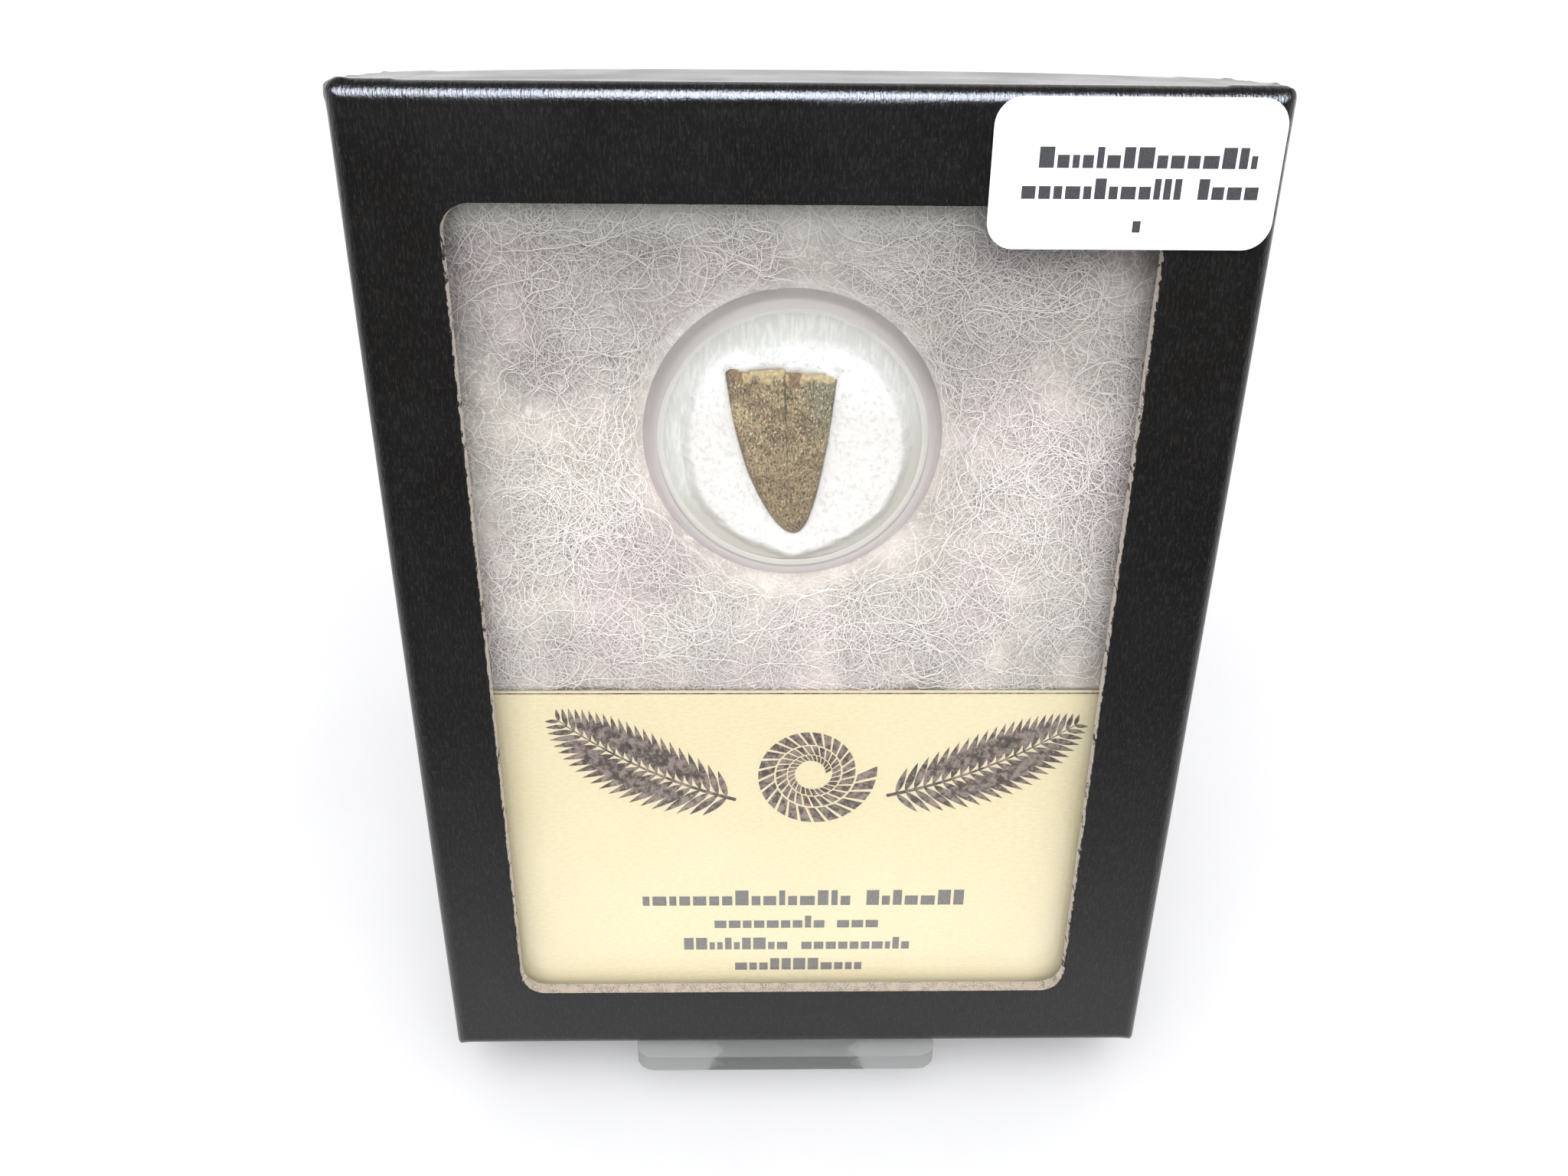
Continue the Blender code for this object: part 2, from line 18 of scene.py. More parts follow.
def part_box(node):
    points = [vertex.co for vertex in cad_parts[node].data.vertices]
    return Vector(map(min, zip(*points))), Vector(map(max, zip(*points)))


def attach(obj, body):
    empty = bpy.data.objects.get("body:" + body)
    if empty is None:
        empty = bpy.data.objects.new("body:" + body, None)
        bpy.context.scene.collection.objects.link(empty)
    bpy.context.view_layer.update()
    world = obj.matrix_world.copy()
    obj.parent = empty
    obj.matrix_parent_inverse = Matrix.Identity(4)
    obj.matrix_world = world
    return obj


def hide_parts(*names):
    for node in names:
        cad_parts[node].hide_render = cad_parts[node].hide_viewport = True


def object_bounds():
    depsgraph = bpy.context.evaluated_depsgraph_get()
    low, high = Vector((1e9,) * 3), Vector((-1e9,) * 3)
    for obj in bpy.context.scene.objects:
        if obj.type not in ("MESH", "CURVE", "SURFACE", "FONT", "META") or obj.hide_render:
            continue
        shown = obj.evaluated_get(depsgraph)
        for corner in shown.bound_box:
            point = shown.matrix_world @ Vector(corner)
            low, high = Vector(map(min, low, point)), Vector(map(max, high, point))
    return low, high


# Display, as in the frame; rounded outlines are left, right, bottom, top and corner radius
LEAN = math.radians(20)
LID_HEIGHT = 0.1097
LID_DEPTH = 0.0172
BOARD = 0.0015
WALL_BULGE = 0.0001
WALL_PINCH = 0.00065
WINDOW = (-0.0329, 0.0317, 0.0087, 0.0998, 0.0028)
GLASS_FRONT = 0.0018
GLASS_BACK = 0.0037
PANE_BOTTOM = 0.0021
INSIDE_FRONT = 0.0040
INSIDE_BACK = 0.0173
PAD_LEFT = -0.03695
PAD_RIGHT = 0.03695
PAD_BOTTOM = 0.0043
PAD_TOP = 0.1054
CARD_LEFT = -0.03665
CARD_RIGHT = 0.03665
CARD_BOTTOM = 0.0046
CARD_THICKNESS = 0.0003

# Lid's width and the card's top edge, fitted to the photo
LID_WIDTH = 0.0834
CARD_TOP = 0.0484

# Lid's shape
EDGE_ROUND = 0.0016
CORNER_ROUND = 0.0011
LEAST_ROUND = 0.0003
BACK_EDGE = 0.0003
INNER_EDGE = 0.0002
OUTLINE_STEPS = ((110, 150), 10)
CORNER_CROWDING = 0.65
FACE_LOOPS = 24
FACE_SPACING = 0.9
ROUND_LOOPS = 12
WALL_LOOPS = 14
LINING_LOOPS = 5
LINING_SHARES = (0.4, 0.8, 1.0)
CUT_LOOPS = 9
LID_SMOOTH_ANGLE = 50
HORN_HEIGHT = 0.00045
HORN_REACH = (0.0022, 0.00044)
FLAP_STEP = 0.00010
FLAP_REACH = (0.0062, 0.0059)
CRUMPLE_REACH = (0.0034, 0.00102)
CRUMPLE_HEIGHT = 0.00030
CRUMPLE_FIELD = (0.0011, 2, 3.0)
FACE_COCKLE = (0.000048, 0.00088, 2, 6.0)
FACE_WAVE = (0.00003, 0.012, 2, 0.0)
CUT_FUZZ = ((0.00008, 0.00035, 3, 5.0), (0.00002, 0.0016, 2, 9.0))
LIP_FUZZ = ((0.000024, 0.0007, 3, 2.0),)
FACE_WEAR = (0.04, 0.12, 0.24)
EDGE_WEAR = (0.1, 1)

# Black paper, and its threads: noise, how thin it is drawn out, weight in the relief, span and colour
PAPER_DARK = (0.0055, 0.0050, 0.0046, 1)
PAPER_THREADS = (
    ((6500, 3, 0.6), 0.28, 2.0, (0.54, 0.70), (0.023, 0.021, 0.0195, 1)),
    ((3800, 2, 0.55), 0.2, 2.5, (0.50, 0.66, 0, 0.3), (0.026, 0.0235, 0.0215, 1)),
)
PAPER_PEBBLE = (4200, 3, 0.6)
PAPER_DUST = ((8000, 1, 0.5), (0.76, 0.82, 0, 0.6), (0.16, 0.15, 0.14, 1))
PAPER_DENTS = (1500, 3, 0.6)
DENT_STRETCH = (1, 0.3, 0.3)
DENT_DEPTH = 0.00005
PAPER_RELIEF = (0.00002, 0.8)
SIDE_SPAN = (0.6, 0.8)
PAPER_CLOUD = (90, 3, 0.6)
DULL_SPAN = (0.3, 0.7, 0.27, 0.35)
WORN_ROUGHNESS = 0.21
WORN_RELIEF = 0.3
PAPER_SHINE = 0.42

# Cut edge of the board
BOARD_FINE = (7000, 4, 0.7)
BOARD_DARK = (0.12, 0.09, 0.066, 1)
BOARD_LIGHT = ((0.35, 0.65), (0.62, 0.55, 0.47, 1))
BOARD_LAYERS = (
    ((900, 3, 0.6), (0.4, 0.65), (0.48, 0.40, 0.32, 1)),
    ((1500, 2, 0.6), (0.60, 0.72, 0, 0.45), (1, 0.05, 1), (0.20, 0.16, 0.13, 1)),
)
LOW_SIDE_SPAN = (0.0107, 0.0093)
BOARD_PALE = ((0.0, 1.0, 0.40, 0.0), (0.86, 0.77, 0.69, 1))
FLECK_NOISE = (1300, 3, 0.7)
FLECK_STRETCH = (1, 0.35, 0.8)
FLECK_SPAN = (0.585, 0.61, 0, 0.9)
FLECK_BLACK = (0.02, 0.018, 0.015, 1)
FRAY_NOISE = (1300, 3, 0.65)
FRAY_HEIGHT = 0.0026
FRAY_BASE = -0.00098
LOW_FRAY = 0.00002
FRAY_SPAN = (-0.00005, 0.00005)
FRAY_BLACK = (0.012, 0.011, 0.010, 1)
BOARD_ROUGHNESS = 0.9
BOARD_RELIEF = (0.00015, 0.9)

# Jar
JAR_X = -0.00135
JAR_Z = 0.0766
CAP_RADIUS = 0.0149
CAP_WALL = 0.0011
CAP_DEPTH = 0.0060
CAP_EDGE = 0.0002
CAP_FILLET = 0.0004
CUP_RADIUS = 0.0142
CUP_NECK_RADIUS = 0.0133
CUP_INNER_RADIUS = 0.0123
CUP_RIM_DEPTH = 0.0040
CUP_BASE_DEPTH = 0.0122
CUP_FLOOR = 0.0011
CUP_EDGE = 0.0005
CUP_RIM_EDGE = 0.0002
JAR_GAP = 0.0003
JAR_STEPS = 192
JAR_SMOOTH_ANGLE = 22
DISC_RADIUS = 0.01334
CLEAR_RADIUS = 0.0128
DISC_MARGIN = 0.0003
RIM_WIDTH = 0.6
RIM_DEPTH = 0.8
BEVEL_DEPTH = 0.0017
BEVEL_SWELL = 0.00018
BEVEL_STEPS = 7
HAZE_DETAIL = (3, 0.6)
HAZE_SPAN = (0.45, 0.8)
HAZE_ROUGHNESS = 2.5

# Clear finishes: colour, refraction, and then roughness, scale of the haze, share of the light that is
# passed straight on, clearness, and colour of the light passed on
JAR_WALL = ((0.66, 0.64, 0.60, 1), 1.5, 0.05, 800, 0.2, 0.1, (0.9, 0.88, 0.9, 1))
JAR_RIM = ((0.61, 0.555, 0.56, 1), 1.5, 0.05, 800, 0.15, 0.15, (0.9, 0.88, 0.9, 1))
JAR_FRONT = ((0.985, 0.985, 0.98, 1), 1.5)
PANE_GLASS = ((0.97, 0.98, 0.975, 1), 1.52)
ACRYLIC = ((0.93, 0.935, 0.93, 1), 1.49, 0.01, 500, 0.45, 0.9, (0.60, 0.605, 0.60, 1))
# Painted shade: the jar's rim is darker towards its top, against the light that falls on its upward-facing
# bevel
RIM_TOP_PAINTED_SHADE = ((JAR_Z - 0.0135, JAR_Z + 0.012), (0.29, 0.265, 0.26, 1))

# Foam
FOAM_RIM_FRONT = 0.0068
FOAM_RAISED_FRONT = 0.0058
FOAM_RADIUS = 0.01355
FOAM_SHOULDER = 0.0077
FOAM_STEM_RADIUS = 0.0120
FOAM_BACK = 0.0148
FOAM_RINGS = 110
FOAM_SIDES = 330
RAISED_SLOPE = 0.0007
TEAR = (0.00022, 0.0014, 3, 2.0)
FOAM_LUMPS = ((0.00005, 0.0018, 2, 4.0), (0.000025, 0.0005, 3, 6.0))
LOW_LUMPS = 0.5
DIP_DEPTH = 0.0010
DIP_REACH = 0.0009
POCKET_DEPTH = 0.0050
POCKET_SPAN = (0.00002, -0.00035)

# Outline of the foam's torn raised middle: angles in degrees and distances from RAISED_X, RAISED_Z
RAISED_X = -0.0010
RAISED_Z = 0.0745
RAISED_ANGLES = (-180, -150, -120, -103, -91, -79, -60, -30, 5, 45, 65, 90, 112, 118, 135, 155, 180)
RAISED_DISTANCES = (
    *(0.0109, 0.0107, 0.0104, 0.0105, 0.0111, 0.0105, 0.0103, 0.0107, 0.0111),
    *(0.0118, 0.0119, 0.0115, 0.0112, 0.0123, 0.0126, 0.0116, 0.0109),
)

# Foam's tones: the raised middle, with painted light towards its top, and the low zone around it, whose
# darker grey is partly its own and partly painted shade, with more painted shade further down
FOAM_LOW_GREY_AND_SHADE = (0.62, 0.615, 0.60, 1)
FOAM_STREAKS = ((3000, 3, 0.6), (0.42, 0.66), (1, 1, 0.22), (0.73, 0.725, 0.71, 1))
FOAM_SLANT = -0.35
# Painted shade: the low zone is painted darker towards its lower right
FOAM_PAINTED_SHADE = ((JAR_Z + 0.0010, JAR_Z - 0.0060), (0.55, 0.527, 0.493, 1))
FOAM_RAISED = (0.745, 0.718, 0.715, 1)
# Painted light: the raised middle is painted paler towards its top, where the cap's wall shades it
FOAM_TOP_PAINTED_LIGHT = ((JAR_Z + 0.0015, JAR_Z + 0.0070), (0.90, 0.893, 0.897, 1))
FOAM_PORES = ((1700, 4, 0.7), (0.50, 0.64, 0, 0.55), (0.52, 0.50, 0.475, 1))
FOAM_FINE = (5200, 3, 0.7)
FOAM_ROUGHNESS = 0.7
FOAM_RELIEF = (0.00005, 0.8)

# Tooth, tip down
TIP_X = -0.0011
TIP_Z = 0.06615
TOOTH_LENGTH = 0.01685
TOOTH_HALF_WIDTH = 0.0055
TOOTH_BELLY = 0.00027
FRONT_FLATNESS = 0.27
BACK_FLATNESS = 0.60
TOOTH_SWING = -0.0014
TOOTH_BOW = -0.00042
BOW_HEIGHT = 0.8
TIP_DEPTH = 0.0066
BASE_DEPTH = 0.0072
TOOTH_RINGS = 240
RING_CROWDING = 1.35
TOOTH_SIDES = 250
FRONT_CROWDING = 0.45
RIM_FALL = 0.3
RIM_ZONE = (0.93, 1.0)
RIM_COVER = 0.00045
COVER_FALL = 0.4
PULP_DEPTH = 0.0005
BREAK_ROUGHNESS = (0.0002, 0.0007, 3, 8.0)
BREAK_STEPS = ((0.97, -0.00002), (0.92, 0.00004), (0.84, 0.0001), (0.7, 0.0002), (0.4, 0.0003))
CRACK_TOP_X = -0.0022
CRACK_BOTTOM_X = -0.0016
CRACK_END = 0.38
CRACK_FULL = 0.95
CRACK_WIDTH = 0.00009
CRACK_DEPTH = 0.00028
CRACK_BEND = (0.00006, 0.0012, 2, 6.0)
STRIA_COUNT = 84
STRIA_HEIGHT = 0.000010
STRIA_WANDER = (2.4, 0.0035, 2, 3.0)
STRIA_ZONE = (0.02, 0.3)
TOOTH_SWELLS = ((0.00007, 0.0030, 3, 1.0), (0.000018, 0.00035, 3, 7.0))
PIT_SIZE = 0.00026
PIT_DEPTH = 0.00004
PIT_EDGE = (0.34, 0.12)
PIT_FIELD = (0.0016, 2, 4.0)
PIT_ZONE = (-0.1, 0.3)
OUTLINE_POINTS = (90, 60)

# Broken front rim of the tooth: X and how far it stands over the tooth's nominal base
RIM_X = (
    *(-0.0084, -0.0078, -0.0071, -0.0067, -0.0058, -0.0055, -0.0036, -0.0023),
    *(-0.0021, -0.0018, -0.0006, -0.0004, 0.0008, 0.0021, 0.0034),
)
RIM_RISE = (
    *(0.0002, 0.0005, 0.0005, 0.0002, 0.0002, 0.0004, 0.0006, 0.0006),
    *(0.0001, 0.0003, 0.0003, 0.0001, 0.0001, -0.0002, -0.0005),
)

# Frayed zone of fresh break at the rim, and its brown chips: first and last X, and where they start
BREAK_FRAY = (0.026, 0.0011, 4, 12.0)
BREAK_ZONE = (0.948, 0.975)
RUSTY_CHIPS = ((-0.0095, -0.0062, 0.955), (-0.0020, -0.0006, 0.925))
CHIP_EDGE = 0.0002
CHIP_FRAY = 0.015
CHIP_WANDER = (0.0002, 0.0007, 3, 15.0)
RUSTY_INSIDE = 0.6

# Enamel
ENAMEL_CLOUD = (420, 4, 0.6)
ENAMEL_DARK = (0.178, 0.121, 0.061, 1)
ENAMEL_LIGHT = ((0.40, 0.62), (0.43, 0.322, 0.18, 1))
ENAMEL_STREAKS = ((2600, 3, 0.6), (0.52, 0.70, 0, 0.5), (1, 1, 0.10), (0.17, 0.13, 0.085, 1))
TIP_BROWN = ((0.0805, 0.0680, 0, 0.72), (0.195, 0.132, 0.069, 1))
STAIN_SWAY = 0.004
STAIN_SIDE_SPAN = (0.0008, 0.0036)
STAIN_RISE_SPAN = (0.0740, 0.0815, 0, 0.75)
STAIN_GREEN = (0.19, 0.205, 0.14, 1)
ENAMEL_PALE = ((700, 3, 0.6), (0.60, 0.70, 0, 0.5), (0.40, 0.385, 0.36, 1))
ENAMEL_ROUGHNESS = (0.3, 0.7, 0.5, 0.68)
SPECKLE_RELIEF = (0.00004, 0.7)

# Light spots and dark dots: noise, stretch, turn, span, span over the tooth's height, and colour
SPECKLES = (
    ((5400, 4, 0.75), (1, 1, 0.6), (0, 0, 0), (0.54, 0.60, 0, 0.85), (0.0690, 0.0790, 0.50, 1.0),
     (0.82, 0.655, 0.405, 1)),
    ((5000, 4, 0.75), (1, 1, 0.65), (0.3, 0.5, 0.2), (0.53, 0.57, 0, 0.92), (0.0690, 0.0790, 0.95, 1.0),
     (0.030, 0.021, 0.012, 1)),
)

# Tones at the rim: the value stored at the points that shows them, its share, and two colours
RIM_GRAIN = (2600, 4, 0.7)
RIM_GRAIN_SPAN = (0.35, 0.65)
RIM_TONES = (
    ("broken", 0.85, (0.46, 0.33, 0.165, 1), (0.74, 0.60, 0.35, 1)),
    ("rusty", 0.9, (0.10, 0.055, 0.028, 1), (0.30, 0.17, 0.08, 1)),
)

# Painted line of the crack
CRACK_LEAN = (CRACK_TOP_X - CRACK_BOTTOM_X) / TOOTH_LENGTH
CRACK_FOOT = CRACK_BOTTOM_X - CRACK_LEAN * TIP_Z - 0.00035
CRACK_NOISE = (1300, 4, 0.65)
CRACK_WANDER = 0.0007
CRACK_SPAN = (0.00009, 0.00001)
CRACK_RISE_SPAN = (0.0668, 0.0760, 0, 0.85)
CRACK_BROWN = (0.045, 0.032, 0.024, 1)

# Wadding
PAD_REST = 0.0049
PAD_LUMPS = (0.0004, 0.007, 4, 1.0)
PAD_STEP = 0.00042
PRESSED_SPAN = (CARD_TOP + 0.0001, CARD_TOP - 0.0008)
PRESSED_DEPTH = 0.0004
PRESSED_GAP = 0.0002
LEAST_GAP = 0.0003
HOLLOW_RADIUS = 0.0143
HOLLOW_SLOPE = 0.0040
HOLLOW_WALL = 0.0004
WADDING_CLOUD = ((260, 4, 0.6), (0.3, 0.7))
WADDING_WARM = (0.968, 0.916, 0.88, 1)
WADDING_ROSE = ((70, 2, 0.5), (0.35, 0.65), (1.0, 0.906, 0.910, 1))
WADDING_BROAD = (60, 2, 0.5)
BROAD_SPAN = (0.35, 0.65, 0.86, 1.0)
OVER_CARD_SPAN = (CARD_TOP, CARD_TOP + 0.016, 0.92, 1.0)
# Painted shade: the wadding's tone is darkened towards the top of the window, where the window's top edge
# shades it
UPPER_PAINTED_SHADE_SPAN = (0.0765, 0.0870, 1.0, 0.75)
# Painted light: a paler tone at the very top of the window, where the window's top edge shades the wadding
TOP_PAINTED_LIGHT_SPAN = (0.0950, 0.0985, 0, 0.8)
PAD_DARK = (0.48, 0.455, 0.43, 1)
PAD_LIGHT = (0.68, 0.645, 0.615, 1)
# Painted light at the very top of the window, for the pad
PAD_TOP_PAINTED_LIGHT = (0.66, 0.645, 0.60, 1)
FIBRE_DARK = (0.93, 0.93, 0.93, 1)
FIBRE_LIGHT = (0.98, 0.98, 0.98, 1)
# Painted light at the very top of the window, for the fibres
FIBRE_TOP_PAINTED_LIGHT = (0.97, 0.95, 0.89, 1)
WADDING_ROUGHNESS = 0.6
CURLS = ((420, 0.012), (700, 0.014), (1100, 0.02))
CURL_DETAIL = (1.5, 0.5, 0.6)
CURL_SHARE = 0.4
CURL_WHITE = (0.88, 0.88, 0.88, 1)
PAD_RELIEF_NOISE = (1500, 4, 0.7)
PAD_RELIEF = (0.0003, 0.7)
# Painted light: the wadding's slope down to the jar is painted paler on its upper side, where it lies in
# shade
SLOPE_LIGHT_SPAN = (HOLLOW_RADIUS + 0.0024, HOLLOW_RADIUS + 0.0010)
SLOPE_LIGHT_RISE_SPAN = (JAR_Z, JAR_Z + 0.010, 0, 0.3)
SLOPE_PAINTED_LIGHT = (0.80, 0.765, 0.745, 1)

# Fibres: name, count, steps, shortest, longest, half thickness, and nearest and deepest lift
FIBRE_SEED = 7
FIBRE_KINDS = (
    ("wadding_fibres_1", 2550, 10, 0.0042, 0.0080, 0.000024, 0.0004, 0.0011),
    ("wadding_fibres_2", 2550, 10, 0.0045, 0.0085, 0.000024, 0.0001, 0.0008),
    ("wadding_fibres_3", 1550, 20, 0.0080, 0.0160, 0.000030, 0.0001, 0.0006),
    ("wadding_fibres_long", 560, 24, 0.0110, 0.0210, 0.000045, 0.0000, 0.0002),
)
FIBRES_TRIED = 5
FIBRE_REACH = 0.0025
TUFT_FIELD = (0.007, 3, 11.0)
TUFT_SPREAD = (-0.30, 0.55)
THIN_ZONE = (0.086, 0.096)
THINNING = 0.10
FIBRE_BEND = 230
FIBRE_WAVE = 0.9
FIBRE_BEAT = (700, 2400)
FIBRE_TILT = 0.00035
FIBRE_RIPPLE = 0.00012
RIPPLE_BEAT = 0.6
FIBRE_FRONT = 0.00012
FIBRE_MARGIN = 0.0003
CAP_MARGIN = 0.00008
CARD_FRONT_MARGIN = 0.00006
CARD_TOP_MARGIN = 0.0001
GLASS_MARGIN = 0.00005
FIBRE_THICKNESSES = (0.75, 1.35)
FIBRE_END = 0.4
FIBRE_TAPER = 3

# Card's print; each line of blocks is its middle, its height and its words from left to right
INK_LIFT = 0.00002
PLATE_SMOOTH_ANGLE = 30
CARD_CORNER = 0.0004
CARD_STEPS = ((40, 30), 4)
CARD_FIBRE = (3500, 3, 0.6)
CARD_STRETCH = (0.4, 1, 1)
CARD_DARK = (0.575, 0.492, 0.316, 1)
CARD_LIGHT = ((0.3, 0.7), (0.633, 0.548, 0.362, 1))
CARD_CLOUD = ((60, 3, 0.6), (0.35, 0.7, 0, 0.35), (0.642, 0.567, 0.409, 1))
CARD_ROUGHNESS = 0.5
CARD_RELIEF = (0.00002, 0.5)
CARD_SEED = 3
CARD_LINES = (
    (0.0203, 0.0022, ((-0.0184, 0.0062), (0.0080, 0.0199))),
    (0.0167, 0.0018, ((-0.0100, 0.0032), (0.0046, 0.0103))),
    (0.0134, 0.0018, ((-0.0137, -0.0011), (0.0004, 0.0141))),
    (0.0102, 0.0018, ((-0.0076, 0.0079),)),
)
CARD_INK = ((0.085, 0.08, 0.075, 1), (0.15, 0.14, 0.13, 1), 5000)
MOTIF_INK = ((0.045, 0.033, 0.028, 1), (0.22, 0.17, 0.15, 1), 1400)
INK_DETAIL = (4, 0.65)
INK_SPAN = (0.38, 0.62)
INK_ROUGHNESS = 0.5
TOP_LINE_DROP = 0.00022
TOP_LINE_HEIGHT = 0.00016
BAR_STEPS = 4
BLOCK_WIDTHS = (0.32, 0.85)
LEAST_BLOCK = 0.3
BLOCK_GAP = 0.16
LOW_BLOCK = 0.62
LOW_BLOCK_SHARE = 0.7

# Card's motif: a coiled shell between two fern leaves
SHELL_X = 0.0012
SHELL_Z = 0.0378
SHELL_RADIUS = 0.0074
SHELL_TURNS = 3
SHELL_RIBS = 26
SHELL_NARROWING = 0.30
WHORL_OVERLAP = 1.04
RIB_ENDS = (0.12, 0.88)
RIB_LEAN = 0.16
# Fern leaves: root's X and Z from the shell, heading, length, bend and reach of the leaflets
FERNS = (
    (-0.0085, -0.0035, math.radians(163), 0.0220, math.radians(-24), 0.0062),
    (0.0085, -0.0030, math.radians(14), 0.0225, math.radians(22), 0.0060),
)
FERN_PAIRS = 21
FERN_SWELL = (0.18, 0.8, 0.8)
LEAFLET_LEAN = (58, -18)
LEAFLET_WIDTH = (0.13, 0.00028)
LEAFLET_TAPER = 0.8
LEAFLET_STEPS = 7
STEM_HALF_WIDTH = (0.00022, 0.00006)

# Sticker
STICKER = (0.0154, 0.0407, 0.0962, 0.1089, 0.0024)
STICKER_STEPS = ((24, 12), 8)
STICKER_FRONT = -0.0005
STICKER_BACK = -0.0003
STICKER_SEED = 5
STICKER_LINES = (
    (0.1040, 0.00175, ((0.0195, 0.0385),)),
    (0.1014, 0.00175, ((0.0182, 0.0322), (0.0337, 0.0397))),
    (0.0985, 0.00160, ((0.0283, 0.0296),)),
)
STICKER_FIBRE = (3000, 3, 0.6)
STICKER_DARK = (0.90, 0.90, 0.90, 1)
STICKER_LIGHT = (0.94, 0.94, 0.94, 1)
STICKER_ROUGHNESS = 0.55
STICKER_RELIEF = (0.00002, 0.4)
STICKER_INK = ((0.030, 0.030, 0.034, 1), (0.055, 0.055, 0.06, 1), 6000)

# Easel, whose ledge is clear in its middle and milky towards both ends, as painted light that stands for the
# white surroundings seen through them
EASEL_X = -0.0014
LEDGE_FROM_FRONT = 0.0018
CLEAR_SPAN = (0.0072, 0.0079)
CLEAR_ARROW = -1.1
LEDGE_BACK_SPAN = (0.004, 0.002)
CLEAR_AND_MILKY = (0.94, 0.76)

# Floor, with painted shade in front and painted light behind, which only the box's reflections see
FLOOR_CORNERS = ((-1.2, -0.6, 0), (1.2, -0.6, 0), (1.2, 1.5, 0), (-1.2, 1.5, 0))
FLOOR_CLOUD = (40, 3, 0.5)
FLOOR_DARK = (0.54, 0.54, 0.545, 1)
FLOOR_LIGHT = (0.58, 0.58, 0.585, 1)
FLOOR_ROUGHNESS = 0.8
DIM_SPAN = (-0.05, -0.19)
DIM_FLOOR = (0.02, 0.02, 0.02, 1)
LIT_SPAN = (0.08, 0.25)
LIT_FLOOR = (0.95, 0.95, 0.95, 1)

# Light; a patch is its direction, its outer and inner half angle in degrees, and its level
OVERHEAD_LAMP = ((0.0, -0.60, 1.0), 50, 20, 2.35)
MIRRORED_LAMP = ((0.0, -0.50, 1.0), 26, 16, 44.0)
DIM_FRONT = ((0.0, -1.0, 0.05), 70, 48, 0.98)
HORIZON_SPAN = (0.0, 0.55, 0.44, 1.27)
DIM_CEILING_SPAN = (0.45, 0.75, 0, 0.9)
ROOM_TINT = (0.99, 0.99, 1.0, 1)
MIRRORED_TINT = (0.80, 0.86, 1.0, 1)

# Camera, in the display's frame, with its turns in degrees
CAMERA_PLACE = (-0.004566, -0.112934, 0.117252)
CAMERA_TURNS = (64.1125, -0.5008, -0.9704)
CAMERA_RANGE = (0.005, 10)
PHOTO_WIDTH = 2048
FOCAL_PIXELS = 1626
SENSOR = 36


def display_matrix():
    """The display's frame in the row frame: turned back by the lean, with its place from the glass."""
    turn = Matrix.Rotation(-LEAN, 4, "X")
    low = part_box("glass")[0]
    front_corner = turn @ Vector((0, GLASS_FRONT, PANE_BOTTOM))
    back_corner = turn @ Vector((0, GLASS_BACK, PANE_BOTTOM))
    return Matrix.Translation((0, low.y - front_corner.y, low.z - back_corner.z)) @ turn


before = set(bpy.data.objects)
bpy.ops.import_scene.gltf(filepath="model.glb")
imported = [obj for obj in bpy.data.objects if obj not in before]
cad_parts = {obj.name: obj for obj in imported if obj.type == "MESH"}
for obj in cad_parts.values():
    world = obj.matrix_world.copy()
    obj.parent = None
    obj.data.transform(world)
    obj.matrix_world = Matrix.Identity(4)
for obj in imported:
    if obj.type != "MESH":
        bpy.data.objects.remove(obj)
cad_low, cad_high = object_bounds()
DISPLAY = display_matrix()


def signed_volume(points, polygons):
    """Six times the volume inside closed polygons, negative where they point inwards."""
    total = 0.0
    for part in polygons:
        first = points[part[:, 0]]
        for second, third in zip(part.T[1:-1], part.T[2:]):
            total += (first * np.cross(points[second], points[third])).sum()
    return total


def build(name, points, polygons, materials, replaces=(), smooth_angle=0):
    """A piece of these points and polygons, which rides on the one body and may stand for CAD nodes."""
    points = np.asarray(points)
    if signed_volume(points, polygons) < 0:
        polygons = [part[:, ::-1] for part in polygons]
    data = bpy.data.meshes.new(name)
    sizes = np.concatenate([np.full(len(part), part.shape[1]) for part in polygons])
    starts = np.concatenate([[0], np.cumsum(sizes)[:-1]])
    corners = np.concatenate([part.ravel() for part in polygons])
    data.vertices.add(len(points))
    data.vertices.foreach_set("co", points.astype(np.float32).ravel())
    data.loops.add(len(corners))
    data.loops.foreach_set("vertex_index", corners.astype(np.int32))
    data.polygons.add(len(sizes))
    data.polygons.foreach_set("loop_start", starts.astype(np.int32))
    data.update(calc_edges=True)
    data.validate()
    for material in materials:
        data.materials.append(material)
    data.shade_smooth()
    if smooth_angle:
        data.set_sharp_from_angle(angle=math.radians(smooth_angle))
    made = bpy.data.objects.new(name, data)
    bpy.context.scene.collection.objects.link(made)
    made.matrix_world = DISPLAY
    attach(made, "root")
    if replaces:
        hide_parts(*replaces)
    return made


def store(made, name, values):
    """Keeps a value at each of the piece's points, for its material."""
    data = made.data.attributes.new(name, "FLOAT", "POINT")
    data.data.foreach_set("value", np.asarray(values, np.float32))


def grid_faces(rows, columns, wrap_rows=False, wrap_columns=False):
    """Quads between neighbouring points of a grid, whose rows or columns may join up at their ends."""
    row = np.arange(rows if wrap_rows else rows - 1)[:, None]
    column = np.arange(columns if wrap_columns else columns - 1)[None, :]
    next_row = (row + 1) % rows
    next_column = (column + 1) % columns
    corners = (
        row * columns + column,
        row * columns + next_column,
        next_row * columns + next_column,
        next_row * columns + column,
    )
    return np.stack([np.broadcast_to(c, (len(row), column.shape[1])).ravel() for c in corners], 1)


def fan(centre, ring, flip=False):
    """Triangles from one point to a closed ring of points."""
    ring = np.asarray(ring)
    after = np.roll(ring, -1)
    first, second = (after, ring) if flip else (ring, after)
    return np.stack([np.full(len(ring), centre), first, second], 1)


